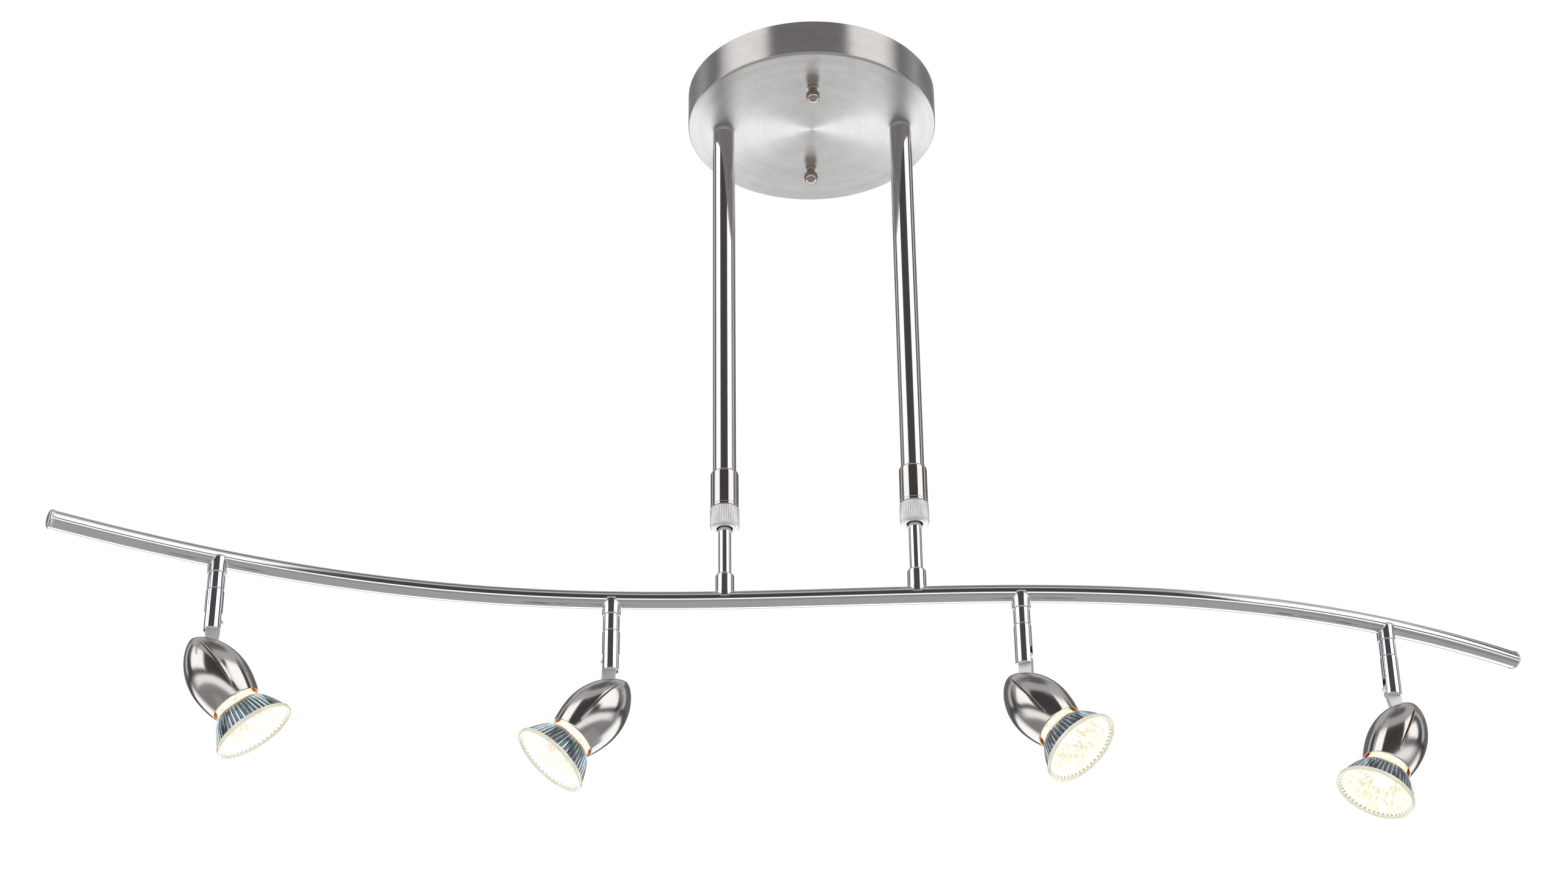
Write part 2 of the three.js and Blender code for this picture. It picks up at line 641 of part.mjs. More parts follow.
// ---- Lamp and socket: heights here are distances from the shell's tip, downwards ----
const LAMP_BASE_AT = LAMP_FACE_AT - LAMP_LENGTH;

// A ring-shaped slot of a given width round a circle, from one angle to another, in degrees.
function kidney(radius, width, from, to) {
  const [start, end, half] = [from * RAD, to * RAD, width / 2];
  const outline = new THREE.Shape();
  outline.absarc(0, 0, radius + half, start, end);
  outline.absarc(radius * Math.cos(end), radius * Math.sin(end), half, end, end + Math.PI);
  outline.absarc(0, 0, radius - half, end, start, true);
  outline.absarc(radius * Math.cos(start), radius * Math.sin(start), half, start + Math.PI, start + 2 * Math.PI);
  return outline;
}

function lampHolder() {
  const end = LAMP_BASE_AT - HOLDER_GAP;
  const outer = shellRadius(HOLDER_FROM) - SHELL_WALL - 2 * GAP;
  const puck = rod(2 * outer, -HOLDER_FROM, -end, ROUND);
  const cuts = [0, 180].map((turn) => {
    const slot = kidney(PIN_SPACING / 2, PIN_D + 2 * GAP, turn, turn + TWIST);
    return plate(slot, end).translate(0, 0, -end - 1);
  });
  return shaped(puck, { cut: cuts });
}

function lampReflector() {
  const [face, neck, base] = [LAMP_D / 2, LAMP_NECK_D / 2, LAMP_BASE_D / 2];
  const rimAt = LAMP_FACE_AT - LAMP_RIM_HEIGHT;
  const bowlAt = rimAt - LAMP_BOWL_HEIGHT;
  const bowl = (k) => neck + (face - 0.8 - neck) * k ** 0.62;
  const outside = [0, 0.12, 0.4, 1].map((k) => [bowl(k), -(bowlAt + LAMP_BOWL_HEIGHT * k)]);
  const inside = [1, 0.25].map((k) => [bowl(k) - LAMP_WALL, -(bowlAt + LAMP_BOWL_HEIGHT * k)]);
  const seat = LAMP_FACE_AT - LENS_RECESS;
  const body = turned([
    [0, -LAMP_BASE_AT],
    [base, -LAMP_BASE_AT],
    [base, -(LAMP_BASE_AT + LAMP_BASE_LENGTH)],
    [neck - 0.6, -(LAMP_BASE_AT + LAMP_BASE_LENGTH + 2)],
    ...outside,
    [face, -rimAt],
    [face, -LAMP_FACE_AT],
    [face - LENS_EDGE, -LAMP_FACE_AT],
    [face - LENS_EDGE, -seat],
    [face - LENS_EDGE - 1, -seat],
    ...inside,
    [neck - 4, -bowlAt],
    [0, -bowlAt],
  ]);
  const pins = [-1, 1].map((side) =>
    rod(PIN_D, -LAMP_BASE_AT - 1, -LAMP_BASE_AT + PIN_LENGTH, ROUND_HOLE).translate((side * PIN_SPACING) / 2, 0, 0),
  );
  return shaped(body, { join: pins });
}

function lampLens() {
  const radius = LAMP_D / 2 - LENS_EDGE - GAP;
  const back = LAMP_FACE_AT - LENS_RECESS + GAP;
  return turned([
    [0, -back],
    [radius, -back],
    [radius, -(back + LENS_THICK)],
    [0, -(back + LENS_THICK)],
  ]);
}

// ---- Assembly ----
const fixture = new THREE.Group();

function add(parent, name, geometry, material) {
  const mesh = new THREE.Mesh(geometry, material());
  mesh.name = name;
  parent.add(mesh);
  return mesh;
}

function addCanopyGroup() {
  const turnedRound = new THREE.Group();
  turnedRound.rotation.z = CANOPY_TURN;
  fixture.add(turnedRound);
  add(turnedRound, "canopy", canopy(), brushedNickel);
  add(turnedRound, "mounting_strap", mountingStrap(), zincSteel);
  add(turnedRound, "ground_screw", groundScrew(), groundGreen).position.y = GROUND_SCREW_AT;
  for (const [end, side] of [["front", -1], ["back", 1]]) {
    add(turnedRound, `canopy_stud_${end}`, canopyStud(), zincSteel).position.y = (side * STUD_SPACING) / 2;
    add(turnedRound, `ball_cap_nut_${end}`, ballCapNut(), chrome).position.y = (side * STUD_SPACING) / 2;
  }
}

function addDropRod(name, side) {
  const straight = new THREE.Group();
  straight.position.set(rodX(side), barY(rodX(side)), 0);
  fixture.add(straight);
  add(straight, `rod_nipple_${name}`, rodNipple(), satinSteel);
  add(straight, `nipple_nut_${name}`, nippleNut(), zincSteel);
  add(straight, `outer_tube_${name}`, outerTube(), satinSteel);
  add(straight, `coupling_sleeve_${name}`, couplingSleeve(), brushedNickel);
  add(straight, `knurled_nut_${name}`, knurledNut(), satinSteel);
}

function addBarGroup() {
  add(fixture, "wave_bar", waveBar(), satinSteel);
  for (const [name, side] of [["left", -1], ["right", 1]]) {
    const x = rodX(side);
    const onBar = new THREE.Group();
    onBar.position.set(x, barY(x), 0);
    fixture.add(onBar);
    add(onBar, `inner_rod_${name}`, innerRod(), chrome);
    add(onBar, `rod_boss_${name}`, rodBoss(x), satinSteel);
    const end = BAR_SHIFT + side * BAR_TUBE_REACH;
    const cap = add(fixture, `end_cap_${name}`, endCap(), chrome);
    cap.position.set(end, barY(end), Z_BAR);
    const outwards = new THREE.Vector3(Math.cos(barHeading(end)), Math.sin(barHeading(end)), 0);
    cap.quaternion.setFromUnitVectors(new THREE.Vector3(0, 0, 1), outwards.multiplyScalar(side));
  }
}

function addHead({ name, x, pan, tilt }) {
  const mount = new THREE.Group();
  mount.position.set(x, barY(x), Z_BAR);
  fixture.add(mount);
  add(mount, `${name}_boss`, headBoss(x), satinSteel);
  add(mount, `${name}_collar`, swivelCollar(), chrome);

  const turning = new THREE.Group();
  turning.rotation.z = pan * RAD;
  mount.add(turning);
  add(turning, `${name}_stem`, swivelStem(), chrome);
  add(turning, `${name}_tilt_pin`, tiltPin(), zincSteel).position.z = -PIVOT_DROP;

  const tilting = new THREE.Group();
  tilting.position.z = -PIVOT_DROP;
  tilting.rotation.y = -tilt * RAD;
  turning.add(tilting);
  add(tilting, `${name}_knuckle`, knuckle(), chrome);

  const shell = new THREE.Group();
  shell.position.set(-SHELL_OFF_AXIS, 0, -SHELL_TIP_DROP);
  tilting.add(shell);
  add(shell, `${name}_shell`, bulletShell(), brushedNickel);
  add(shell, `${name}_lamp_socket`, lampHolder(), steatite);
  add(shell, `${name}_lamp`, lampReflector(), mirrorGlass);
  add(shell, `${name}_lens`, lampLens(), clearGlass);
}

addCanopyGroup();
addDropRod("left", -1);
addDropRod("right", 1);
addBarGroup();
for (const head of HEADS) addHead(head);

export default fixture;
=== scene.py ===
"""Looks of a ceiling light: a round canopy, two telescoping drop rods and an S-shaped bar with four aimable spots.

Run as a script inside Blender. Lengths in the shape functions are millimetres in the fixture's own frame, whose
origin is the middle of the mounting strap's top face, with +Z up and +X along the bar.
"""

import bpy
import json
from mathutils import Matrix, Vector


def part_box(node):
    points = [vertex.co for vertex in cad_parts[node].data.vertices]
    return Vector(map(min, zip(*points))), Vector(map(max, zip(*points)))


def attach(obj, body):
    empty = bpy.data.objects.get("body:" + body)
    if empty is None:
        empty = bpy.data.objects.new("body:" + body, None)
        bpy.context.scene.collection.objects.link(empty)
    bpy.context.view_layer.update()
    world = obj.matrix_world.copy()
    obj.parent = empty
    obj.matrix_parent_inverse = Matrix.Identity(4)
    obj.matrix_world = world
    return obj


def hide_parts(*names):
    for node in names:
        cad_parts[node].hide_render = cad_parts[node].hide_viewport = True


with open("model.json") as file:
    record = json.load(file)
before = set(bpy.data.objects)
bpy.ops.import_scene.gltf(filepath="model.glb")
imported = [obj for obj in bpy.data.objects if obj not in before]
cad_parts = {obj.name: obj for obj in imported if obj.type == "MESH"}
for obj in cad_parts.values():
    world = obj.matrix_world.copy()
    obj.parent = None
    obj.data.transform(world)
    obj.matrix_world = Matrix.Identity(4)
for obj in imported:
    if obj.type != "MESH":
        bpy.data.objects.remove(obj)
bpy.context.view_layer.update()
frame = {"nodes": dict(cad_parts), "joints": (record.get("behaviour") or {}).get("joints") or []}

import functools
import json
import math

import bpy
import numpy as np
from bpy.props import FloatProperty, FloatVectorProperty, IntProperty, PointerProperty
from mathutils import Matrix

bl_info = {
    "name": "S-bar ceiling light",
    "version": (1, 0, 0),
    "blender": (4, 5, 0),
    "location": "View3D > Sidebar > S-bar light",
    "description": "Builds the surfaces, finishes and studio of a ceiling light with an S-shaped bar",
    "category": "Object",
}

MM = 0.001
HEADS = ("1", "2", "3", "4")
SIDES = ("left", "right")
JOINTS = {joint["name"]: joint for joint in frame["joints"]}


def node_box(node):
    """Lowest and highest corner of a frame node, in millimetres."""
    low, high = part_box(node)
    return np.array(low) / MM, np.array(high) / MM


def node_middle(node):
    """Middle of a frame node's box, in millimetres."""
    low, high = node_box(node)
    return (low + high) / 2


# --- Settings that a user would change ---
def length(name, description, millimetres):
    """A length property, given in millimetres and stored in metres."""
    return FloatProperty(
        name=name, description=description, default=millimetres * MM, unit="LENGTH", subtype="DISTANCE", precision=5
    )


def linear(hex_colour):
    """Linear red, green and blue of an sRGB hex colour."""
    srgb = np.array([int(hex_colour[i : i + 2], 16) for i in (0, 2, 4)]) / 255
    return tuple(np.where(srgb <= 0.04045, srgb / 12.92, ((srgb + 0.055) / 1.055) ** 2.4))


def colour(name, description, hex_colour):
    """A colour property whose default is an sRGB hex colour."""
    return FloatVectorProperty(
        name=name, description=description, default=linear(hex_colour), subtype="COLOR", min=0, max=1
    )


class CanopySettings(bpy.types.PropertyGroup):
    wall: length("Wall", "Thickness of the spun dish", 1.2)
    corner: length("Corner", "Rounding between the side wall and the underside", 1.9)
    ball: length("Ball nut", "Diameter of the ball of each cap nut", 9.6)
    nut_flats: length("Nut flats", "Width across the flats of the nuts inside the canopy", 14.0)


class RodSettings(bpy.types.PropertyGroup):
    tube: length("Tube", "Outside diameter of the upper tubes", 14.6)
    sleeve: length("Sleeve", "Outside diameter of the coupling sleeves", 17.6)
    nut: length("Knurled nut", "Outside diameter of the clamping nuts", 18.3)
    nut_mouth: length("Nut mouth", "Hole that the inner rod slides through", 10.2)
    ribs: IntProperty(name="Ribs", description="Straight ribs round each clamping nut", default=48, min=12, max=120)
    rod: length("Rod", "Outside diameter of the sliding inner rods", 8.0)
    boss: length("Boss", "Outside diameter of the bosses on the bar", 11.6)


class BarSettings(bpy.types.PropertyGroup):
    tube: length("Tube", "Outside diameter of the bar", 11.0)
    cap: length("Cap", "Outside diameter of the end caps", 11.8)
    fillet: length("Solder fillet", "Size of the soldered fillet where a boss meets the bar", 0.5)


class HeadSettings(bpy.types.PropertyGroup):
    boss: length("Boss", "Outside diameter of the boss under the bar", 11.4)
    collar: length("Collar", "Outside diameter of the fixed collar", 10.2)
    stem: length("Stem", "Outside diameter of the turning stem", 10.8)
    slot: length("Fork slot", "Width of the slot in the stem's lower end", 4.6)
    shell: length("Shell", "Largest diameter of the bullet-shaped shell", 36.6)
    shell_mouth: length("Shell mouth", "Diameter of the shell at its open end", 30.4)
    shell_length: length("Shell length", "Tip to mouth", 49.7)
    vent: length("Vent", "Width of each vent slit at its middle", 1.1)


class LampSettings(bpy.types.PropertyGroup):
    face: length("Face", "Diameter of the lamp's front", 49.2)
    neck: length("Neck", "Diameter of the glowing neck", 26.6)
    flutes: IntProperty(name="Flutes", description="Flutes pressed round the outside", default=48, min=12, max=90)
    glow: FloatProperty(name="Glow", description="Brightness of the lamp's light", default=1.0, min=0, max=10)


class FinishSettings(bpy.types.PropertyGroup):
    nickel: colour("Nickel", "Brushed nickel plate", "c6c3c0")
    steel: colour("Steel", "Satin polished steel", "d9d8d8")
    chrome: colour("Chrome", "Mirror chrome plate", "e6e8ee")
    zinc: colour("Zinc", "Zinc plate of the hidden fastenings", "b4b7ba")
    earth_green: colour("Earth green", "Coating of the earthing screw", "2f7a3d")
    ceramic: colour("Ceramic", "Unglazed ceramic of the lamp sockets", "ebe6da")
    pewter: colour("Pewter", "Polished dark nickel of the ball nuts", "b5aba4")
    dichroic: colour("Dichroic", "Mirror coat of the lamps, seen from outside", "b4c2c8")
    floor: colour("Floor", "Pale studio floor", "efeeec")


class StudioSettings(bpy.types.PropertyGroup):
    floor_drop: length("Floor", "Depth of the floor below the ceiling", 2200.0)
    floor_reach: length("Floor reach", "Half the width of the floor", 2200.0)
    camera_x: length("Camera X", "Camera place along the bar", 123.4)
    camera_y: length("Camera Y", "Camera place in front of the bar", -1729.3)
    camera_z: length("Camera Z", "Camera place below the ceiling", -1307.1)
    lens: FloatProperty(name="Lens", description="Focal length", default=73.43, min=1, unit="CAMERA")
    pitch: FloatProperty(
        name="Pitch", description="Camera's upward tilt", default=math.radians(31.01), subtype="ANGLE"
    )
    yaw: FloatProperty(
        name="Yaw", description="Camera's turn to the right", default=math.radians(-4.79), subtype="ANGLE"
    )
    roll: FloatProperty(name="Roll", description="Camera's roll", default=math.radians(0.77), subtype="ANGLE")


class LightSettings(bpy.types.PropertyGroup):
    canopy: PointerProperty(type=CanopySettings)
    rods: PointerProperty(type=RodSettings)
    bar: PointerProperty(type=BarSettings)
    heads: PointerProperty(type=HeadSettings)
    lamps: PointerProperty(type=LampSettings)
    finish: PointerProperty(type=FinishSettings)
    studio: PointerProperty(type=StudioSettings)


def settings():
    """The light's settings in the open scene."""
    return bpy.context.scene.s_bar_light


# --- Surfaces ---
def lengths_along(points):
    """Distance walked from the first point to each one."""
    steps = np.linalg.norm(np.diff(points, axis=0), axis=1)
    return np.concatenate([[0.0], np.cumsum(steps)])


def eased(corners):
    """A profile from (radius, height, setback) corners: straight lines, with each inner corner given way to a
    parabola that starts and ends its setback away, and a point a little further out to hold the flats flat."""
    corners = np.array(corners, float)
    place, setback = corners[:, :2], corners[1:-1, 2:]
    middle = place[1:-1]
    back, onward = place[:-2] - middle, place[2:] - middle
    back /= np.linalg.norm(back, axis=1, keepdims=True)
    onward /= np.linalg.norm(onward, axis=1, keepdims=True)
    start, end = (middle + back * setback)[:, None], (middle + onward * setback)[:, None]
    t = np.linspace(0, 1, 6)[None, :, None]
    curve = (1 - t) ** 2 * start + 2 * t * (1 - t) * middle[:, None] + t**2 * end
    hold = 0.12 * setback
    curve = np.concatenate([start + (back * hold)[:, None], curve, end + (onward * hold)[:, None]], axis=1)
    path = np.concatenate([place[:1], curve.reshape(-1, 2), place[-1:]])
    moved = np.linalg.norm(np.diff(path, axis=0), axis=1) > 1e-5
    return path[np.concatenate([[True], moved])]


def joined(corners, *after):
    """An eased profile that goes on through some sharp points."""
    return np.concatenate([eased(corners), after])


def round_turn(columns):
    """Angles of the columns of a full turn, starting on the far side, where a seam shows least."""
    return math.pi / 2 + np.arange(columns) * 2 * math.pi / columns


def turned(profile, columns=64, radius=None):
    """A profile of (radius, height) points carried round Z: x = radius cos(angle), y = radius sin(angle), z =
    height. A radius function of (radius, angle, height) grids can flute or flatten it on the way."""
    profile = np.asarray(profile, float)
    angle = round_turn(columns)[None, :]
    reach = profile[:, :1] + 0 * angle
    height = profile[:, 1:] + 0 * angle
    if radius is not None:
        reach = np.where(reach > 1e-9, radius(reach, angle + 0 * reach, height), 0)
    return np.stack([reach * np.cos(angle), reach * np.sin(angle), height], axis=-1)


def grid_uv(points, wrap):
    """Two lengths in millimetres for each grid point: round the widest row, and along the first column."""
    widest = np.linalg.norm(np.diff(points, axis=1), axis=2).sum(axis=1).max()
    columns = points.shape[1] + (1 if wrap else 0)
    across = np.linspace(0, widest, columns)[None, :]
    along = lengths_along(points[:, 0])[:, None]
    return np.stack([across + 0 * along, along + 0 * across], axis=-1)


def knit(points, wrap=True, uv=None, keep=None):
    """Faces over a grid of points, whose rows follow the profile and whose columns go round it. The last column
    joins the first when it wraps, a row whose points coincide becomes one vertex, and keep says which of the
    grid's cells get a face. Gives vertices, faces and the two lengths at each face corner."""
    rows, columns = points.shape[:2]
    uv = grid_uv(points, wrap) if uv is None else uv
    index = np.arange(rows * columns).reshape(rows, columns)
    pole = np.ptp(points, axis=1).max(axis=1) < 1e-7
    index[pole] = index[pole][:, :1]
    if wrap:
        index = np.concatenate([index, index[:, :1]], axis=1)
    corners = [(slice(0, -1), slice(0, -1)), (slice(0, -1), slice(1, None))]
    corners += [(slice(1, None), slice(1, None)), (slice(1, None), slice(0, -1))]
    quads = np.stack([index[c] for c in corners], axis=-1).reshape(-1, 4)
    quad_uv = np.stack([uv[c] for c in corners], axis=-2).reshape(-1, 4, 2)
    if keep is not None:
        quads, quad_uv = quads[keep.reshape(-1)], quad_uv[keep.reshape(-1)]
    top, low = quads[:, 0] == quads[:, 1], quads[:, 2] == quads[:, 3]
    whole = ~(top | low)
    parts = [(quads[whole], quad_uv[whole])]
    parts += [(quads[top & ~low][:, 1:], quad_uv[top & ~low][:, 1:])]
    parts += [(quads[low & ~top][:, :3], quad_uv[low & ~top][:, :3])]
    used = np.unique(np.concatenate([faces.reshape(-1) for faces, _ in parts]))
    vertices = points.reshape(-1, 3)[used]
    new_index = np.zeros(rows * columns, int)
    new_index[used] = np.arange(len(used))
    parts = [(new_index[faces], corner_uv) for faces, corner_uv in parts]
    seen = vertices - vertices.mean(axis=0)
    volume = sum(
        np.einsum("ij,ij->i", seen[f[:, 0]], np.cross(seen[f[:, k]], seen[f[:, k + 1]])).sum()
        for f, _ in parts
        if len(f)
        for k in range(1, f.shape[1] - 1)
    )
    if volume < 0:
        parts = [(faces[:, ::-1], corner_uv[:, ::-1]) for faces, corner_uv in parts]
    return vertices, parts


def stretched(points, origin, x_axis=(1, 0, 0), z_axis=(0, 0, 1)):
    """Points made round their own Z axis, carried to an origin with the given X and Z directions."""
    x, z = np.array(x_axis, float), np.array(z_axis, float)
    x, z = x / np.linalg.norm(x), z / np.linalg.norm(z)
    return points @ np.stack([x, np.cross(z, x), z]) + np.array(origin, float)


def add_piece(name, sheets, material, body, nodes=(), sharp=38):
    """An object from knitted sheets, each (vertices, parts). It rides on a body, stands for the named frame nodes
    and is shaded smooth up to the sharp angle, in degrees."""
    vertices, faces, uvs, start = [], [], [], 0
    for sheet_vertices, parts in sheets:
        vertices.append(sheet_vertices)
        for part_faces, part_uv in parts:
            faces += (part_faces + start).tolist()
            uvs.append(part_uv.reshape(-1, 2))
        start += len(sheet_vertices)
    mesh = bpy.data.meshes.new(name)
    mesh.from_pydata(np.concatenate(vertices) * MM, [], faces)
    layer = mesh.uv_layers.new(name="lengths")
    layer.data.foreach_set("uv", np.concatenate(uvs).astype(np.float32).reshape(-1))
    mesh.shade_smooth()
    mesh.set_sharp_from_angle(angle=math.radians(sharp))
    mesh.materials.append(material)
    mesh.validate()
    piece = bpy.data.objects.new(name, mesh)
    bpy.context.scene.collection.objects.link(piece)
    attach(piece, body)
    if nodes:
        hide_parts(*nodes)
    return piece


def add_turned(name, profile, place, material, body, nodes=(), columns=64, radius=None, sharp=38):
    """A turned piece at a place, given as an origin or as (origin, x axis, z axis)."""
    place = (place,) if np.ndim(place[0]) == 0 else place
    return add_piece(
        name, [knit(stretched(turned(profile, columns, radius), *place))], material, body, nodes, sharp
    )


def add_extruded(name, outline, thickness, place, material, body, nodes, rounding):
    """A flat plate: the closed outline of (x, z) points, given thickness along Y and rounded edges. The sign of the
    outline's area (half the sum of x times the next z less the next x times z) tells which way round it runs."""
    outline = np.asarray(outline, float)
    count = len(outline)
    after = np.roll(outline, -1, axis=0)
    if np.sum(outline[:, 0] * after[:, 1] - after[:, 0] * outline[:, 1]) < 0:
        outline = outline[::-1]
    front = np.stack([outline[:, 0], np.full(count, -thickness / 2), outline[:, 1]], axis=-1)
    back = front + np.array([0, thickness, 0])
    points = stretched(np.concatenate([front, back]), *place) * MM
    ring = np.arange(count)
    nxt = (ring + 1) % count
    sides = np.stack([nxt, ring, ring + count, nxt + count], axis=-1)
    mesh = bpy.data.meshes.new(name)
    mesh.from_pydata(points, [], [ring.tolist(), (ring + count)[::-1].tolist(), *sides.tolist()])
    layer = mesh.uv_layers.new(name="lengths")
    corner = np.zeros(len(mesh.loops), int)
    mesh.loops.foreach_get("vertex_index", corner)
    layer.data.foreach_set("uv", np.tile(outline, (2, 1))[corner].astype(np.float32).reshape(-1))
    mesh.materials.append(material)
    mesh.shade_smooth()
    mesh.set_sharp_from_angle(angle=math.radians(30))
    piece = bpy.data.objects.new(name, mesh)
    bpy.context.scene.collection.objects.link(piece)
    bevel = piece.modifiers.new("rounded edges", "BEVEL")
    bevel.width = rounding * MM
    bevel.segments = 3
    bevel.limit_method = "ANGLE"
    bevel.angle_limit = math.radians(35)
    bevel.harden_normals = True
    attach(piece, body)
    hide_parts(*nodes)
    return piece


def dress(material, slot, *nodes):
    """Gives carried-over frame nodes a finish."""
    for node in nodes:
        mesh = frame["nodes"][node].data
        mesh.materials.clear()
        mesh.materials.append(material)


# --- Finishes ---
def add_node(tree, kind, inputs=None, **values):
    """Adds one node, sets its own values and fills its inputs by name or number with values or other sockets."""
    node = tree.nodes.new(kind)
    for key, value in values.items():
        setattr(node, key, value)
    for key, value in (inputs or {}).items():
        if isinstance(value, bpy.types.NodeSocket):
            tree.links.new(value, node.inputs[key])
        else:
            node.inputs[key].default_value = value
    return node


def finish(name):
    """Makes a function that gives a shader's inputs in a node tree into one that gives the named material, which is
    built the first time and found again after that."""

    def wrap(inputs_in):
        @functools.wraps(inputs_in)
        def finished():
            material = bpy.data.materials.get(name)
            if material:
                return material
            material = bpy.data.materials.new(name)
            material.use_nodes = True
            tree = material.node_tree
            tree.nodes.clear()
            output = tree.nodes.new("ShaderNodeOutputMaterial")
            shader = add_node(tree, "ShaderNodeBsdfPrincipled", inputs_in(tree))
            tree.links.new(shader.outputs[0], output.inputs["Surface"])
            return material

        return finished

    return wrap


def ramp(tree, factor, stops):
    """A colour ramp over (position, grey or colour) stops."""
    node = add_node(tree, "ShaderNodeValToRGB", {"Fac": factor})
    elements = node.color_ramp.elements
    while len(elements) < len(stops):
        elements.new(0.5)
    for element, (position, value) in zip(elements, stops):
        element.position = position
        shade = (value,) * 3 if isinstance(value, (int, float)) else tuple(value)
        element.color = (*shade, 1.0)
    return node.outputs["Color"]


def toned(colour_value, factor):
    """A colour made lighter or darker."""
    return tuple(min(1.0, float(c) * factor) for c in colour_value[:3])


def brushed_lines(tree, axis, spacing):
    """Fine lines at a real spacing in millimetres, running along the piece's other length: noise over one length
    only, so each line keeps its tone from end to end."""
    lengths = add_node(tree, "ShaderNodeUVMap", uv_map="lengths")
    parts = add_node(tree, "ShaderNodeSeparateXYZ", {0: lengths.outputs["UV"]})
    scaled = add_node(
        tree, "ShaderNodeMath", {0: parts.outputs[axis], 1: 1 / spacing}, operation="MULTIPLY"
    )
    noise = add_node(
        tree, "ShaderNodeTexNoise", {"W": scaled.outputs[0], "Scale": 1.0, "Detail": 4.0, "Roughness": 0.62},
        noise_dimensions="1D",
    )
    return noise.outputs["Fac"]


def handling_marks(tree, size):
    """Soft cloudy marks of a real size in millimetres, as hands and cleaning leave them."""
    place = add_node(tree, "ShaderNodeTexCoord")
    noise = add_node(
        tree, "ShaderNodeTexNoise",
        {"Vector": place.outputs["Object"], "Scale": 1 / (size * MM), "Detail": 3.0, "Roughness": 0.55},
    )
    return noise.outputs["Fac"]


def brushed_metal(tree, base, roughness, axis, spacing, depth, anisotropy, radial=False):
    """Shader inputs for brushed metal: lines at the given spacing set the roughness and a shallow relief, cloudy
    marks vary both, and the highlights stretch across the lines."""
    lines = brushed_lines(tree, axis, spacing)
    marks = handling_marks(tree, 14)
    rough_lines = ramp(tree, lines, [(0.3, roughness * 0.86), (0.7, roughness * 1.16)])
    rough_marks = ramp(tree, marks, [(0.3, 0.94), (0.75, 1.1)])
    rough = add_node(tree, "ShaderNodeMath", {0: rough_lines, 1: rough_marks}, operation="MULTIPLY")
    tint = ramp(tree, lines, [(0.25, toned(base, 0.92)), (0.75, toned(base, 1.04))])
    if radial:
        bands = ramp(tree, brushed_lines(tree, axis, 9), [(0.35, 0.93), (0.65, 1.0)])
        tint = add_node(tree, "ShaderNodeMixRGB", {0: 1.0, 1: tint, 2: bands}, blend_type="MULTIPLY").outputs[0]
    relief = add_node(
        tree, "ShaderNodeBump", {"Height": lines, "Strength": 0.3, "Distance": depth * MM}
    )
    if radial:
        tangent = add_node(tree, "ShaderNodeTangent", direction_type="RADIAL", axis="Z")
    else:
        tangent = add_node(tree, "ShaderNodeTangent", direction_type="UV_MAP", uv_map="lengths")
    return {
        "Base Color": tint,
        "Metallic": 1.0,
        "Roughness": rough.outputs[0],
        "Anisotropic": anisotropy,
        "Anisotropic Rotation": 0.25 if axis == "Y" else 0.0,
        "Tangent": tangent.outputs[0],
        "Normal": relief.outputs[0],
    }


@finish("brushed nickel on spun steel")
def brushed_nickel_rings(tree):
    """Nickel plate on spun steel, brushed while it turned: rings 0.5 mm apart, drawn coarser than the real 0.1 mm so
    that they show. The eye gets a soft grey face with bright sectors that fan out from the middle."""
    return brushed_metal(tree, settings().finish.nickel, 0.3, "Y", 0.5, 0.012, 0.96, True)


@finish("brushed nickel on turned steel")
def brushed_nickel_round(tree):
    """Nickel plate on turned steel, brushed round and round: the eye gets soft-edged bright bands down the piece."""
    return brushed_metal(tree, settings().finish.nickel, 0.13, "Y", 0.35, 0.002, 0.86)


@finish("satin polished steel tube")
def satin_steel_long(tree):
    """Steel tube polished along its length and lacquered: crisp bands of light with fine lines along them."""
    return brushed_metal(tree, settings().finish.steel, 0.12, "X", 0.3, 0.0008, 0.1)


@finish("satin turned steel")
def satin_steel_round(tree):
    """Steel turned on a lathe and lightly polished: bright, with faint tool rings."""
    return brushed_metal(tree, settings().finish.steel, 0.16, "Y", 0.3, 0.006, 0.7)


@finish("tumbled steel")
def tumbled_steel(tree):
    """Steel tumbled with stones until it is evenly dull: a light soft grey whichever way it faces."""
    return brushed_metal(tree, toned(settings().finish.steel, 1.3), 0.5, "X", 0.4, 0.002, 0.0)


@finish("mirror chrome plate")
def mirror_chrome(tree):
    """Chrome plate on polished brass: a hard mirror with a faint haze of handling."""
    rough = ramp(tree, handling_marks(tree, 6), [(0.35, 0.035), (0.7, 0.075)])
    waves = handling_marks(tree, 3)
    relief = add_node(tree, "ShaderNodeBump", {"Height": waves, "Strength": 0.12, "Distance": 0.02 * MM})
    return {
        "Base Color": (*settings().finish.chrome, 1),
        "Metallic": 1.0,
        "Roughness": rough,
        "Normal": relief.outputs[0],
    }


@finish("polished dark nickel plate")
def dark_nickel(tree):
    """Dark nickel plate, polished: a warm grey mirror that keeps the little ball nuts darker than the dish."""
    base = settings().finish.pewter
    marks = handling_marks(tree, 2.5)
    tint = ramp(tree, marks, [(0.3, toned(base, 0.85)), (0.7, toned(base, 1.1))])
    rough = ramp(tree, marks, [(0.35, 0.06), (0.7, 0.12)])
    return {"Base Color": tint, "Metallic": 1.0, "Roughness": rough}


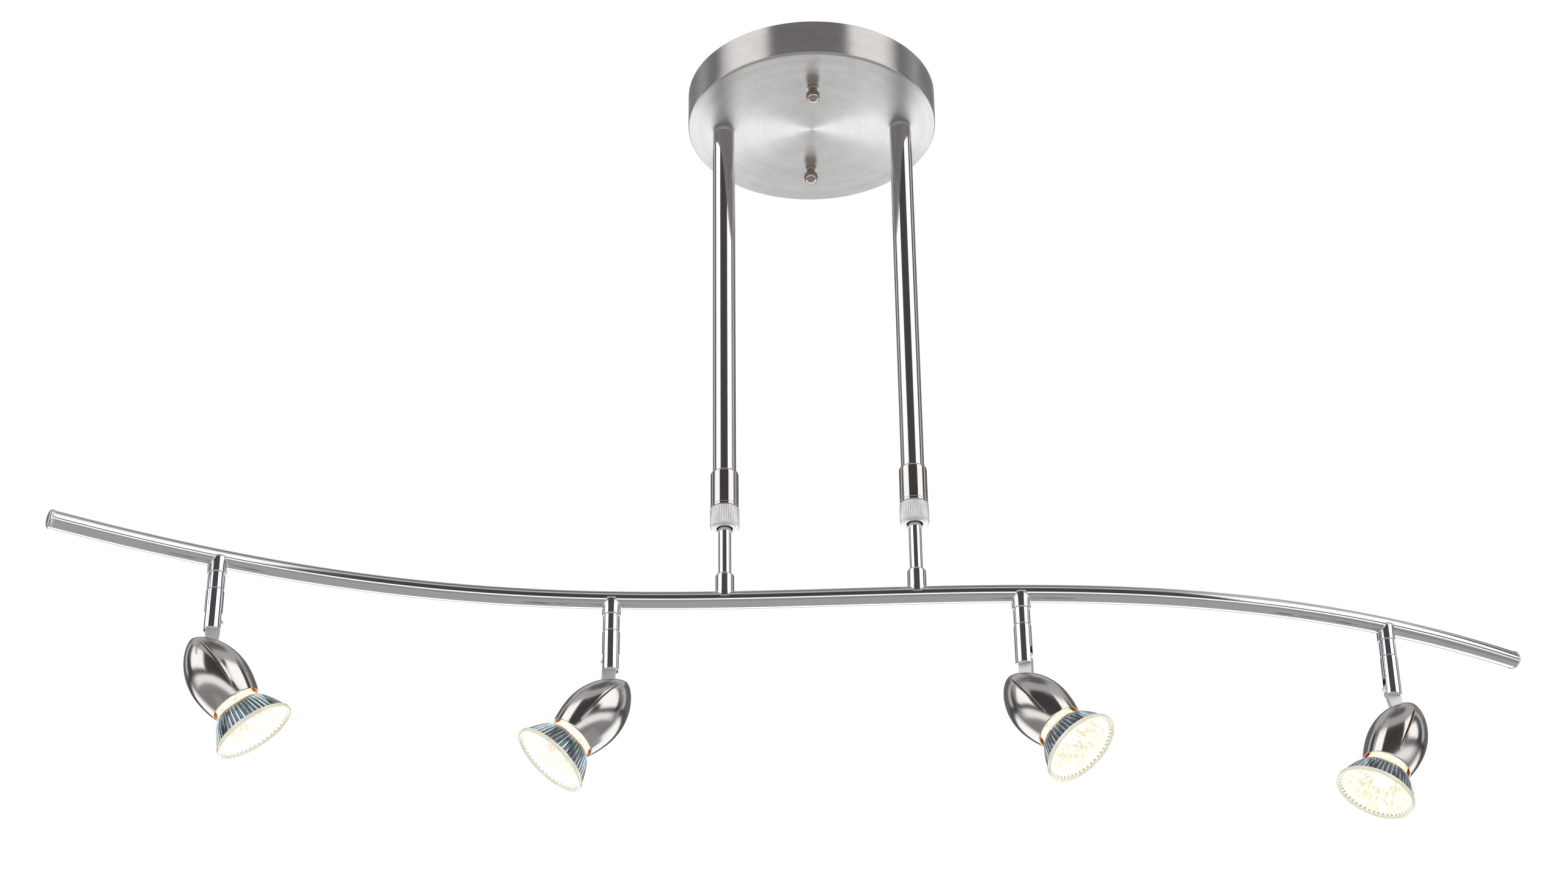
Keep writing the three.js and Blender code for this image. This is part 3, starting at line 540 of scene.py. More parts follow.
@finish("zinc plated steel")
def zinc_plate(tree):
    """Zinc plate with a clear passivate: dull grey spangle 2 mm across with a cold tint."""
    base = settings().finish.zinc
    place = add_node(tree, "ShaderNodeTexCoord")
    spangle = add_node(
        tree, "ShaderNodeTexVoronoi", {"Vector": place.outputs["Object"], "Scale": 1 / (2 * MM)}
    )
    tone = add_node(tree, "ShaderNodeSeparateColor", {0: spangle.outputs["Color"]})
    tint = ramp(tree, tone.outputs[0], [(0.0, toned(base, 0.8)), (0.5, base[:3]), (1.0, toned(base, 1.1))])
    rough = ramp(tree, tone.outputs[1], [(0.0, 0.32), (1.0, 0.46)])
    return {"Base Color": tint, "Metallic": 1.0, "Roughness": rough}


@finish("green dipped coating")
def earth_coating(tree):
    """Green coating dipped over the earthing screw: glossy, thicker in the corners, with a fine grain."""
    base = settings().finish.earth_green
    grain = handling_marks(tree, 1.2)
    tint = ramp(tree, grain, [(0.3, toned(base, 0.75)), (0.7, toned(base, 1.15))])
    relief = add_node(tree, "ShaderNodeBump", {"Height": grain, "Strength": 0.25, "Distance": 0.05 * MM})
    return {"Base Color": tint, "Roughness": 0.32, "Coat Weight": 0.3, "Normal": relief.outputs[0]}


@finish("pressed unglazed ceramic")
def pressed_ceramic(tree):
    """Unglazed ceramic, pressed and fired: matt off-white with a sandy 0.4 mm grain."""
    base = settings().finish.ceramic
    grain = handling_marks(tree, 0.4)
    tint = ramp(tree, grain, [(0.3, toned(base, 0.86)), (0.7, base[:3])])
    relief = add_node(tree, "ShaderNodeBump", {"Height": grain, "Strength": 0.3, "Distance": 0.04 * MM})
    return {"Base Color": tint, "Roughness": 0.75, "Normal": relief.outputs[0]}


@finish("raw steel with painted lamp glow")
def shell_inside_painted_glow(tree):
    """Inside of a shell: raw steel with the lamp's light painted on as an amber tint and a painted glow that grows
    towards the mouth, so the eye gets an amber rim at the mouth.
    """
    lengths = add_node(tree, "ShaderNodeUVMap", uv_map="lengths")
    along = add_node(tree, "ShaderNodeSeparateXYZ", {0: lengths.outputs["UV"]})
    # painted lamp light: a glow from dark brown to amber that grows towards the mouth
    near = ramp(
        tree,
        add_node(tree, "ShaderNodeMath", {0: along.outputs["Y"], 1: 1 / 60.0}, operation="MULTIPLY").outputs[0],
        [(0.74, linear("120a05")), (0.86, linear("a85a22")), (0.97, linear("e9b273"))],
    )
    marks = handling_marks(tree, 3)
    rough = ramp(tree, marks, [(0.3, 0.3), (0.7, 0.5)])
    return {
        # painted warm lamp light: the raw steel's base colour tinted amber
        "Base Color": (*linear("c98f5a"), 1),
        "Metallic": 0.6,
        "Roughness": rough,
        "Emission Color": near,
        "Emission Strength": 0.32,
    }


@finish("frosted glass lit from inside")
def glowing_neck(tree):
    """Frosted glass neck lit from inside: near white in the middle, warmer towards the shell."""
    lengths = add_node(tree, "ShaderNodeUVMap", uv_map="lengths")
    along = add_node(tree, "ShaderNodeSeparateXYZ", {0: lengths.outputs["UV"]})
    share = add_node(tree, "ShaderNodeMath", {0: along.outputs["Y"], 1: 1 / 26.0}, operation="MULTIPLY")
    warm = ramp(
        tree, share.outputs[0],
        [(0.2, linear("e58b3e")), (0.5, linear("ffd9a4")), (0.7, linear("fffaf0")), (1.0, linear("fff3e0"))],
    )
    grain = ramp(tree, handling_marks(tree, 1.6), [(0.53, 0.0), (0.66, 0.85)])
    speckled = add_node(tree, "ShaderNodeMixRGB", {0: grain, 1: warm, 2: (*linear("f6bf7e"), 1)}, blend_type="MIX")
    edge = add_node(tree, "ShaderNodeLayerWeight", {"Blend": 0.35})
    rim = ramp(tree, edge.outputs["Facing"], [(0.45, 0.0), (0.95, 0.9)])
    strength = add_node(
        tree, "ShaderNodeMixRGB", {0: rim, 1: speckled.outputs[0], 2: (*linear("d9803a"), 1)}, blend_type="MIX"
    )
    return {
        "Base Color": (*linear("8a7c66"), 1),
        "Roughness": 0.35,
        "Emission Color": strength.outputs[0],
        "Emission Strength": 1.05 * settings().lamps.glow,
    }


@finish("pressed glass with dichroic coat")
def dichroic_outside(tree):
    """Pressed glass with a mirror coat that lets heat out: silver flutes with painted shade, a dark teal, in the
    grooves between them, and a warm leak of light at the neck. The first length counts flutes, the second runs from the
    neck to the rim."""
    base = settings().finish.dichroic
    lengths = add_node(tree, "ShaderNodeUVMap", uv_map="lengths")
    part = add_node(tree, "ShaderNodeSeparateXYZ", {0: lengths.outputs["UV"]})
    flute = add_node(tree, "ShaderNodeMath", {0: part.outputs["X"], 1: 0.5}, operation="PINGPONG")
    # share of painted shade: none on the raised flats, full in the grooves between the flutes
    groove_shade_share = ramp(tree, flute.outputs[0], [(0.18, 0.0), (0.3, 1.0)])
    leak = ramp(
        tree, part.outputs["Y"],
        [(0.02, linear("ffe2b4")), (0.16, linear("b79f78")), (0.3, linear("3d474c")), (1.0, linear("1b2429"))],
    )
    marks = handling_marks(tree, 2.5)
    silver = ramp(tree, marks, [(0.3, toned(base, 0.8)), (0.7, toned(base, 1.25))])
    # painted shade in the grooves: the coat's colour darkened to a dark teal
    painted_groove_shade = ramp(tree, marks, [(0.3, toned(base, 0.16)), (0.7, toned(base, 0.42))])
    tint = add_node(tree, "ShaderNodeMixRGB", {0: groove_shade_share, 1: silver, 2: painted_groove_shade})
    rough = ramp(tree, marks, [(0.3, 0.08), (0.7, 0.18)])
    return {
        "Base Color": tint.outputs[0],
        "Metallic": 0.9,
        "Roughness": rough,
        "Emission Color": leak,
        "Emission Strength": 0.5,
        "Coat Weight": 0.3,
        "Coat Roughness": 0.05,
    }


@finish("pressed glass rim")
def rim_glass(tree):
    """Thick pressed glass rim: pale straw where the light runs through its edge."""
    swirl = handling_marks(tree, 4)
    glow = ramp(tree, swirl, [(0.3, linear("dcd8bd")), (0.7, linear("f8f2dc"))])
    relief = add_node(tree, "ShaderNodeBump", {"Height": swirl, "Strength": 0.2, "Distance": 0.2 * MM})
    return {
        "Base Color": (*linear("dedccb"), 1),
        "Roughness": 0.08,
        "Emission Color": glow,
        "Emission Strength": 0.34,
        "Coat Weight": 1.0,
        "Coat Roughness": 0.02,
        "Normal": relief.outputs[0],
    }


@finish("faceted mirror in lamp light")
def dish_mirror(tree):
    """Faceted mirror dish of a lit lamp: each facet throws back its own share of the light, from white to cream."""
    lengths = add_node(tree, "ShaderNodeUVMap", uv_map="lengths")
    cells = add_node(
        tree, "ShaderNodeTexVoronoi",
        {"Vector": lengths.outputs["UV"], "Scale": 1 / 2.4, "Randomness": 0.5},
        voronoi_dimensions="2D",
    )
    tone = add_node(tree, "ShaderNodeSeparateColor", {0: cells.outputs["Color"]})
    light = ramp(
        tree, tone.outputs[0],
        [(0.0, linear("a5804a")), (0.3, linear("dcbf8b")), (0.55, linear("f8e6c2")), (0.8, linear("ffffff"))],
    )
    out = add_node(tree, "ShaderNodeSeparateXYZ", {0: lengths.outputs["UV"]})
    far = add_node(tree, "ShaderNodeMath", {0: out.outputs["Y"], 1: 1 / 30.0}, operation="MULTIPLY")
    facets = ramp(tree, far.outputs[0], [(0.24, 0.0), (0.36, 1.0), (0.6, 0.9), (0.9, 0.5)])
    lit = add_node(tree, "ShaderNodeMixRGB", {0: facets, 1: (1, 1, 1, 1), 2: light})
    return {
        "Base Color": (*linear("6e655a"), 1),
        "Metallic": 1.0,
        "Roughness": 0.3,
        "Emission Color": lit.outputs[0],
        "Emission Strength": 0.8 * settings().lamps.glow,
    }


@finish("quartz capsule at full light")
def lit_capsule(tree):
    """Quartz capsule round the filament: plain white light, brighter along the middle."""
    grain = handling_marks(tree, 2)
    light = ramp(tree, grain, [(0.3, linear("fff3da")), (0.7, linear("ffffff"))])
    return {
        "Base Color": (*linear("ffffff"), 1),
        "Roughness": 0.2,
        "Emission Color": light,
        "Emission Strength": 1.6 * settings().lamps.glow,
    }


@finish("clear pressed cover glass")
def front_glass(tree):
    """Clear pressed cover glass, faintly rippled, with a light haze of its own against the lamp."""
    ripple = handling_marks(tree, 5)
    relief = add_node(tree, "ShaderNodeBump", {"Height": ripple, "Strength": 0.15, "Distance": 0.1 * MM})
    rough = ramp(tree, ripple, [(0.3, 0.02), (0.7, 0.06)])
    return {
        "Base Color": (*linear("fffdf6"), 1),
        "Roughness": rough,
        "Transmission Weight": 1.0,
        "IOR": 1.47,
        "Emission Color": (*linear("fff6e2"), 1),
        "Emission Strength": 0.12 * settings().lamps.glow,
        "Normal": relief.outputs[0],
    }


@finish("matt painted floor")
def matt_floor(tree):
    """Pale studio floor, rolled matt paint: an almost even off-white with a soft 60 mm mottle."""
    base = settings().finish.floor
    mottle = handling_marks(tree, 60)
    tint = ramp(tree, mottle, [(0.3, toned(base, 0.97)), (0.7, toned(base, 1.0))])
    return {"Base Color": tint, "Roughness": 0.85}


# --- Canopy and what holds it ---
def canopy_profile():
    """Closed section of the spun dish, from its middle underneath, out round the rounded corner, up to the rim and
    back down inside to the middle of its floor."""
    sizes = settings().canopy
    low, high = node_box("canopy")
    radius, wall, corner = (high[0] - low[0]) / 2, sizes.wall / MM, sizes.corner / MM
    under, floor = low[2], low[2] + wall
    return eased(
        [
            (0, under, 0),
            (radius, under, corner),
            (radius, 0, 0.25),
            (radius - wall, 0, 0.25),
            (radius - wall, floor, 1.2),
            (0, floor, 0),
        ]
    )


def ball_nut_profile(top):
    """Section of a ball cap nut: a small flange, a waisted neck and a ball, from the bottom of the ball upwards."""
    ball = settings().canopy.ball / MM / 2
    centre = top - 6.9
    angle = np.radians(np.linspace(-90, 42, 30))
    sphere = np.stack([ball * np.cos(angle), centre + ball * np.sin(angle)], axis=-1)
    sphere[0, 0] = 0
    waist, flange = 3.15, 3.9
    neck = eased(
        [
            (*sphere[-1], 0), (waist, top - 2.4, 0.5), (waist, top - 1.3, 0.3), (flange, top - 1.1, 0.2),
            (flange, top, 0), (0, top, 0),
        ]
    )
    return np.concatenate([sphere[:-1], neck])


def hexagon_reach(flats):
    """A radius function for a hexagon nut: the flats' distance over the cosine of the angle from the nearest flat's
    middle, held back to the turned radius, which chamfers its corners."""

    def reach(radius, angle, height):
        nearest = (angle % (math.pi / 3)) - math.pi / 6
        return np.minimum(radius, flats / 2 / np.cos(nearest))

    return reach


def hex_nut_profile(bore, flats, low, high):
    """Closed section of a nut, from the bore's lower edge round the outside to its upper edge."""
    corner = flats / 2 / math.cos(math.pi / 6)
    return np.array(
        [
            (bore, low), (corner - 1.0, low), (corner, low + 0.5), (corner, high - 0.5), (corner - 1.0, high),
            (bore, high), (bore, low),
        ]
    )


class SBAR_OT_canopy(bpy.types.Operator):
    """Spun canopy dish and its two ball cap nuts"""

    bl_idname = "sbar.canopy"
    bl_label = "Canopy"

    def execute(self, context):
        add_turned(
            "canopy_dish", canopy_profile(), (0, 0, 0), brushed_nickel_rings(), "ceiling_frame", ["canopy"],
            columns=192,
        )
        under = node_box("canopy")[0][2]
        for end in ("front", "back"):
            node = f"ball_cap_nut_{end}"
            x, y, _ = node_middle(node)
            add_turned(
                f"ball_nut_{end}", ball_nut_profile(0), (x, y, under), dark_nickel(), "ceiling_frame", [node],
                columns=48,
            )
        return {"FINISHED"}


class SBAR_OT_ceiling_fastenings(bpy.types.Operator):
    """Mounting strap, studs, earthing screw and the nuts inside the canopy"""

    bl_idname = "sbar.ceiling_fastenings"
    bl_label = "Ceiling fastenings"

    def execute(self, context):
        dress(zinc_plate(), "zinc_steel", "mounting_strap", "canopy_stud_front", "canopy_stud_back")
        dress(earth_coating(), "green_screw", "ground_screw")
        for side in SIDES:
            node = f"nipple_nut_{side}"
            low, high = node_box(node)
            x, y, _ = node_middle(node)
            flats = settings().canopy.nut_flats / MM
            add_turned(
                f"rod_nut_{side}", hex_nut_profile(5.1, flats, low[2], high[2]), (x, y, 0), zinc_plate(),
                "ceiling_frame", [node], columns=96, radius=hexagon_reach(flats), sharp=28,
            )
        return {"FINISHED"}


# --- Drop rods ---
def nipple_profile(bore, low, high, under, ring_low):
    """Section of a threaded nipple: spigot, grooved ring under the canopy, then thread crests and roots 1 mm apart."""
    ring = 7.6
    turns = np.arange(under + 1.5, high - 0.4, 0.5)
    crest = 5.0 - 0.35 * (np.arange(len(turns)) % 2)
    thread = np.stack([crest, turns], axis=-1)
    outside = eased(
        [
            (bore, low, 0), (5.6, low, 0.3), (5.6, ring_low + 0.3, 0), (ring, ring_low + 0.3, 0.25),
            (ring, ring_low + 1.3, 0.15), (ring - 0.6, ring_low + 1.45, 0.1), (ring - 0.6, ring_low + 1.85, 0.1),
            (ring, ring_low + 2.0, 0.15), (ring, under - 0.05, 0.2), (5.0, under - 0.05, 0),
        ]
    )
    return np.concatenate([outside, thread, [(4.6, high), (bore, high), (bore, low)]])


def tube_profile(outer, inner, low, high, edge=0.3):
    """Closed section of a tube wall with eased edges."""
    return joined([(inner, low, 0), (outer, low, edge), (outer, high, edge), (inner, high, 0)], (inner, low))


def sleeve_profile(outer, socket, low, high):
    """Section of a coupling sleeve: rounded shoulder at the top, straight side, a fine line turned near its foot."""
    bore, step = 4.4, high - 2
    return joined(
        [
            (bore, low, 0), (outer, low, 0.25), (outer, low + 1.6, 0.1), (outer - 0.12, low + 1.75, 0.05),
            (outer, low + 1.9, 0.1), (outer, high - 0.05, 2.0), (socket, high - 0.05, 0.15), (socket, step, 0),
        ],
        (bore, step), (bore, low),
    )


def knurled_profile(outer, mouth, low, high):
    """Section of a clamping nut: mouth for the rod, rounded lower edge, straight side and a small top edge."""
    rim, deep = 7.0, high - 4
    return joined(
        [
            (mouth, deep, 0), (mouth, low + 0.4, 0.3), (mouth + 0.5, low, 0.3), (outer - 1.4, low, 0.6),
            (outer, low + 1.7, 0.9), (outer, high - 0.4, 0.4), (outer - 0.9, high, 0.3), (rim, high, 0),
        ],
        (rim, deep), (mouth, deep),
    )


def straight_ribs(count, depth, outer, low, high):
    """A radius function for straight ribs: the side goes in and out with the cosine of count times the angle, and
    the ribs fade out at both ends and away from the outer side."""

    def reach(radius, angle, height):
        wave = 0.5 - 0.5 * np.cos(count * angle)
        ends = np.clip((height - low - 1.2) / 0.8, 0, 1) * np.clip((high - 0.7 - height) / 0.5, 0, 1)
        return radius - depth * wave * ends * (radius > outer - 0.7)

    return reach


def inner_rod_profile(rod, low, high):
    """Section of a sliding rod: plain tube with a wider stop at its upper end."""
    bore, stop, stop_foot = rod - 0.9, 5.6, high - 3
    return joined(
        [
            (bore, low, 0), (rod, low, 0.1), (rod, stop_foot, 0), (stop, stop_foot, 0.3), (stop, high, 0.3),
            (bore, high, 0),
        ],
        (bore, low),
    )


def saddle_height(radius, angle, heading, tube):
    """Height of the bar's surface above its centre line, under a point round an upright post: the root of the bar's
    radius squared less the point's distance from the bar's line squared."""
    across = radius * np.sin(angle - heading)
    return np.sqrt(np.maximum(tube**2 - across**2, (tube * 0.12) ** 2))


def saddled_post(outer, reach, shoulder, heading, tube, fillet, bore=None, columns=96):
    """A post that stands on a round bar, with Z away from the bar and its origin on the bar's line. Rows run from
    inside the bar, out to the saddle line, up the flared fillet, up the side and over the shoulder; with a bore,
    its top is a ring and the surface goes down into it. Each row's height blends from the saddle to a flat circle."""
    angle = round_turn(columns)
    t = np.linspace(0, 1, 7)
    bore_foot = reach - 3

    def ring(radius, height):
        return np.stack([radius * np.cos(angle), radius * np.sin(angle), height + 0 * angle], axis=-1)

    rows = [ring(0, 0)]
    for radius, lift in zip(outer + fillet * (1 - t) ** 2, t * fillet * 1.6 - 0.25):
        rows.append(ring(radius, saddle_height(radius, angle, heading, tube) + lift))
    foot = saddle_height(outer, angle, heading, tube).max() + 0.6
    over = [(outer, foot, 0), (outer, reach, shoulder), (bore or 0, reach, 0.15 if bore else 0)]
    over += [(bore, bore_foot, 0)] if bore else []
    rows += [ring(radius, height) for radius, height in eased(over)]
    rows += [ring(0, bore_foot)] if bore else []
    return np.stack(rows)


class SBAR_OT_drop_rods(bpy.types.Operator):
    """Upper tubes with their nipples, coupling sleeves and clamping nuts"""

    bl_idname = "sbar.drop_rods"
    bl_label = "Drop rods"

    def execute(self, context):
        sizes = settings().rods
        under = node_box("canopy")[0][2]
        for side in SIDES:
            x, y, _ = node_middle(f"outer_tube_{side}")
            place = (x, y, 0)
            low, high = node_box(f"rod_nipple_{side}")
            tube_low, tube_high = node_box(f"outer_tube_{side}")
            add_turned(
                f"threaded_nipple_{side}", nipple_profile(3.0, low[2], high[2], under, tube_high[2]), place,
                satin_steel_round(), "ceiling_frame", [f"rod_nipple_{side}"],
            )
            add_turned(
                f"upper_tube_{side}",
                tube_profile(sizes.tube / MM / 2, 6.0, tube_low[2], tube_high[2] + 0.25), place,
                satin_steel_long(), "ceiling_frame", [f"outer_tube_{side}"], columns=96,
            )
            low, high = node_box(f"coupling_sleeve_{side}")
            sleeve_low = node_box(f"knurled_nut_{side}")[1][2] + 0.15
            sleeve, socket = sizes.sleeve / MM / 2, sizes.tube / MM / 2 + 0.1
            add_turned(
                f"sleeve_{side}", sleeve_profile(sleeve, socket, sleeve_low, high[2]), place, brushed_nickel_round(),
                "ceiling_frame", [f"coupling_sleeve_{side}"], columns=96,
            )
            low, high = node_box(f"knurled_nut_{side}")
            outer = sizes.nut / MM / 2
            add_turned(
                f"clamping_nut_{side}", knurled_profile(outer, sizes.nut_mouth / MM / 2, low[2], high[2]), place,
                tumbled_steel(), f"knurled_nut_{side}", [f"knurled_nut_{side}"],
                columns=sizes.ribs * 6, radius=straight_ribs(sizes.ribs, 0.34, outer, low[2], high[2]), sharp=60,
            )
        return {"FINISHED"}


# --- S-shaped bar ---
BAR_HALF = 438.0  # half the bar's length, the unit of its curve
LEAN, BOW, EASE, SKEW, UNSKEW = 22.8, 141.1, 21.8, 13.8, 9.2  # the curve's terms, in millimetres at the bar's end
BAR_MIDDLE_Z = node_middle("wave_bar")[2]


def bar_sideways(x):
    """The bar's sideways place at x: with t = x over half its length, a straight lean times t and a bow times t
    cubed, less an easing times t to the fifth, and a skew times t squared that a term in t to the fourth takes back."""
    t = x / BAR_HALF
    return LEAN * t + BOW * t**3 - EASE * t**5 - SKEW * t**2 + UNSKEW * t**4


def bar_heading(x):
    """Direction of the bar at x, as an angle from +X, from the slope of its sideways curve."""
    t = x / BAR_HALF
    slope = LEAN + 3 * BOW * t**2 - 5 * EASE * t**4 - 2 * SKEW * t + 4 * UNSKEW * t**3
    return np.arctan2(slope, BAR_HALF)


def bar_ends():
    """The x of both ends of the bar's tube on its centre line."""
    low, high = node_box("wave_bar")
    radius = settings().bar.tube / MM / 2
    return low[0] + radius * math.sin(bar_heading(low[0])), high[0] - radius * math.sin(bar_heading(high[0]))


def bar_surface(radius, columns=64, rows=360):
    """A circle carried along the S curve: the centre line's point, plus radius cos(angle) sideways across the
    heading and radius sin(angle) upwards. Both ends close on the centre line."""
    start, end = bar_ends()
    x = np.linspace(start, end, rows)
    line = np.stack([x, bar_sideways(x), np.full(rows, BAR_MIDDLE_Z)], axis=-1)
    across = np.stack([-np.sin(bar_heading(x)), np.cos(bar_heading(x)), 0 * x], axis=-1)
    angle = round_turn(columns)
    ring = radius * (
        across[:, None] * np.cos(angle)[None, :, None] + np.array([0, 0, 1]) * np.sin(angle)[None, :, None]
    )
    skin = line[:, None] + ring
    first, last = np.repeat(line[:1, None], columns, axis=1), np.repeat(line[-1:, None], columns, axis=1)
    return np.concatenate([first, skin, last])


def end_cap_profile(outer):
    """Section of an end cap: a short plug, a flange a little wider than the bar and a low dome."""
    t = np.linspace(0, math.pi / 2, 12)
    dome = np.stack([(outer - 0.35) * np.cos(t) ** 0.8, 1.15 + 1.25 * np.sin(t)], axis=-1)
    dome[-1, 0] = 0
    plug, depth, seat = 4.2, -6, -0.02
    corners = [
        (0, depth, 0), (plug, depth, 0.3), (plug, seat, 0), (outer, seat, 0.3), (outer, 0.9, 0.25), (*dome[0], 0),
    ]
    return joined(corners, *dome[1:])


class SBAR_OT_bar(bpy.types.Operator):
    """S-shaped bar, its end caps, the sliding rods and their bosses"""

    bl_idname = "sbar.bar"
    bl_label = "Bar"

    def execute(self, context):
        sizes, rods = settings().bar, settings().rods
        tube = sizes.tube / MM / 2
        add_piece("s_bar", [knit(bar_surface(tube))], satin_steel_long(), "bar", ["wave_bar"])
        for side, end, outwards in zip(SIDES, bar_ends(), (-1, 1)):
            heading = bar_heading(end)
            axis = (outwards * math.cos(heading), outwards * math.sin(heading), 0)
            add_turned(
                f"cap_{side}", end_cap_profile(sizes.cap / MM / 2),
                ((end, bar_sideways(end), BAR_MIDDLE_Z), (0, 0, 1), axis), mirror_chrome(), "bar",
                [f"end_cap_{side}"],
            )
            low, high = node_box(f"inner_rod_{side}")
            x, y, _ = node_middle(f"inner_rod_{side}")
            add_turned(
                f"sliding_rod_{side}", inner_rod_profile(rods.rod / MM / 2, low[2], high[2]), (x, y, 0),
                mirror_chrome(), "bar", [f"inner_rod_{side}"],
            )
            top = node_box(f"rod_boss_{side}")[1][2] - BAR_MIDDLE_Z
            post = saddled_post(
                rods.boss / MM / 2, top, 1.9, bar_heading(x), tube, sizes.fillet / MM, rods.rod / MM / 2 + 0.15
            )
            add_piece(
                f"rod_post_{side}", [knit(stretched(post, (x, y, BAR_MIDDLE_Z)))], satin_steel_round(), "bar",
                [f"rod_boss_{side}"],
            )
        return {"FINISHED"}


# --- Heads: swivels ---
def head_frames(head):
    """For one head: the point under the bar's line, the direction that the lamp leans to, the tilt axis' point, and
    the tilting part's own X and Z, from the joints' places and axes."""
    pan, tilt, twist = (JOINTS[f"head_{head}_{motion}"] for motion in ("pan", "tilt", "lamp_twist"))
    x, y, _ = np.array(pan["pos_m"]) / MM
    axis = np.array(tilt["axis"], float)
    lean = np.array([-axis[1], axis[0], 0])
    up = np.array(twist["axis"], float)
    across = np.cross(-axis, up)
    return (x, y, BAR_MIDDLE_Z), lean, np.array(tilt["pos_m"]) / MM, across, up


def stem_sheets(outer, slot, top, slot_top, end):
    """A stem: an upright round bar down to the slot, then two ears. An ear's outline at each height is the arc of
    the stem outside the slot and the chord that closes it, drawn in a little at the lower rows to round its end."""
    upper = turned(
        eased(
            [
                (0, slot_top, 0), (outer, slot_top, 0), (outer, top, 0.5), (3.4, top, 0.1), (3.4, top + 6, 0.4),
                (0, top + 6, 0),
            ]
        )
    )
    sheets = [knit(upper)]
    inset = np.array([0, 0, 0, 0.03, 0.12, 0.28, 0.5])
    height = np.array([slot_top + 0.4, slot_top - 0.4, end + 0.6, end + 0.35, end + 0.15, end + 0.04, end])
    radius, chord = (outer - inset)[:, None], (slot / 2 + inset)[:, None]
    reach = np.arcsin(chord / radius)
    share = np.linspace(0, 1, 25)[None, :]
    arc_angle = reach + (math.pi - 2 * reach) * share
    arc = np.stack([radius * np.cos(arc_angle), radius * np.sin(arc_angle)], axis=-1)
    flat_x = (radius * np.cos(reach)) * (2 * np.linspace(0, 1, 8)[None, 1:-1] - 1)
    flat = np.stack([flat_x, chord + 0 * flat_x], axis=-1)
    outline = np.concatenate([arc, flat], axis=1)
    ear = np.concatenate([outline, np.broadcast_to(height[:, None, None], (*outline.shape[:2], 1))], axis=-1)
    ends = ear[[0, -1]].mean(axis=1, keepdims=True)
    ear = np.concatenate([np.repeat(ends[:1], ear.shape[1], axis=1), ear, np.repeat(ends[1:], ear.shape[1], axis=1)])
    for side in (1, -1):
        sheets.append(knit(ear * np.array([side, side, 1])))
    return sheets


def moved(sheets, origin, x_axis, z_axis=(0, 0, 1)):
    """Knitted sheets carried to a place."""
    return [(stretched(vertices, origin, x_axis, z_axis), parts) for vertices, parts in sheets]


class SBAR_OT_head_swivels(bpy.types.Operator):
    """Bosses, collars, forked stems and tilt pins of the four heads"""

    bl_idname = "sbar.head_swivels"
    bl_label = "Head swivels"

    def execute(self, context):
        sizes = settings().heads
        tube = settings().bar.tube / MM / 2
        for head in HEADS:
            origin, lean, pivot, _, _ = head_frames(head)
            boss_end = origin[2] - node_box(f"head_{head}_boss")[0][2]
            collar_end = origin[2] - node_box(f"head_{head}_collar")[0][2]
            stem_end = origin[2] - node_box(f"head_{head}_stem")[0][2]
            drop = origin[2] - pivot[2]
            post = saddled_post(
                sizes.boss / MM / 2, boss_end, 0.7, -bar_heading(origin[0]), tube, settings().bar.fillet / MM
            )
            add_piece(
                f"head_{head}_post", [knit(stretched(post, origin, (1, 0, 0), (0, 0, -1)))], satin_steel_round(),
                "bar", [f"head_{head}_boss"],
            )
            add_turned(
                f"head_{head}_ring",
                eased(
                    [
                        (0, -collar_end, 0), (sizes.collar / MM / 2, -collar_end, 0.35),
                        (sizes.collar / MM / 2, 0.2 - boss_end, 0), (0, 0.2 - boss_end, 0),
                    ]
                ),
                origin, mirror_chrome(), "bar", [f"head_{head}_collar"],
            )
            sheets = stem_sheets(
                sizes.stem / MM / 2, sizes.slot / MM, -collar_end - 0.3, -drop + 8, -stem_end
            )
            add_piece(
                f"head_{head}_fork", moved(sheets, origin, lean), mirror_chrome(), f"stem_{head}",
                [f"head_{head}_stem"],
            )
            bow = sizes.stem / MM / 2
            radius = np.linspace(0, 1.5, 6)
            end = np.sqrt(bow**2 - radius**2) - 0.02
            pin = np.concatenate(
                [np.stack([radius, -end], axis=-1), np.stack([radius[::-1], end[::-1]], axis=-1)]
            )
            add_turned(
                f"head_{head}_pin", pin, (pivot, (0, 0, 1), np.cross((0, 0, 1), lean)), zinc_plate(),
                f"stem_{head}", [f"head_{head}_tilt_pin"], columns=24,
            )
        return {"FINISHED"}


# --- Heads: shells ---
SHELL_WIDEST_AT = 32.0  # from the tip
SHELL_BLUNT = 1.42  # 2 is a round nose, 1 a pointed one
SHELL_WALL = 0.9
TIP_UP = -1.2  # tip above the tilt axis, along the shell's own axis; below it when negative
VENT_FROM, VENT_TO = 7.0, 44.5


def shell_radius(s):
    """Radius at distance s from the tip: up to the widest place, the widest radius times one less the square of the
    share still to go, to the power of one over the bluntness; past it, a light taper to the mouth."""
    sizes = settings().heads
    widest, mouth, long = sizes.shell / MM / 2, sizes.shell_mouth / MM / 2, sizes.shell_length / MM
    back = 1 - np.minimum(s, SHELL_WIDEST_AT) / SHELL_WIDEST_AT
    nose = widest * np.maximum(1 - back**2, 0) ** (1 / SHELL_BLUNT)
    on = np.clip((s - SHELL_WIDEST_AT) / (long - SHELL_WIDEST_AT), 0, None)
    return np.where(s < SHELL_WIDEST_AT, nose, widest - (widest - mouth) * on**1.8)


def vent_share(s):
    """How open the vent is at s: 1 at its middle, falling to 0 at its ends along a parabola."""
    k = np.clip((s - VENT_FROM) / (VENT_TO - VENT_FROM), 0, 1)
    return 4 * k * (1 - k)


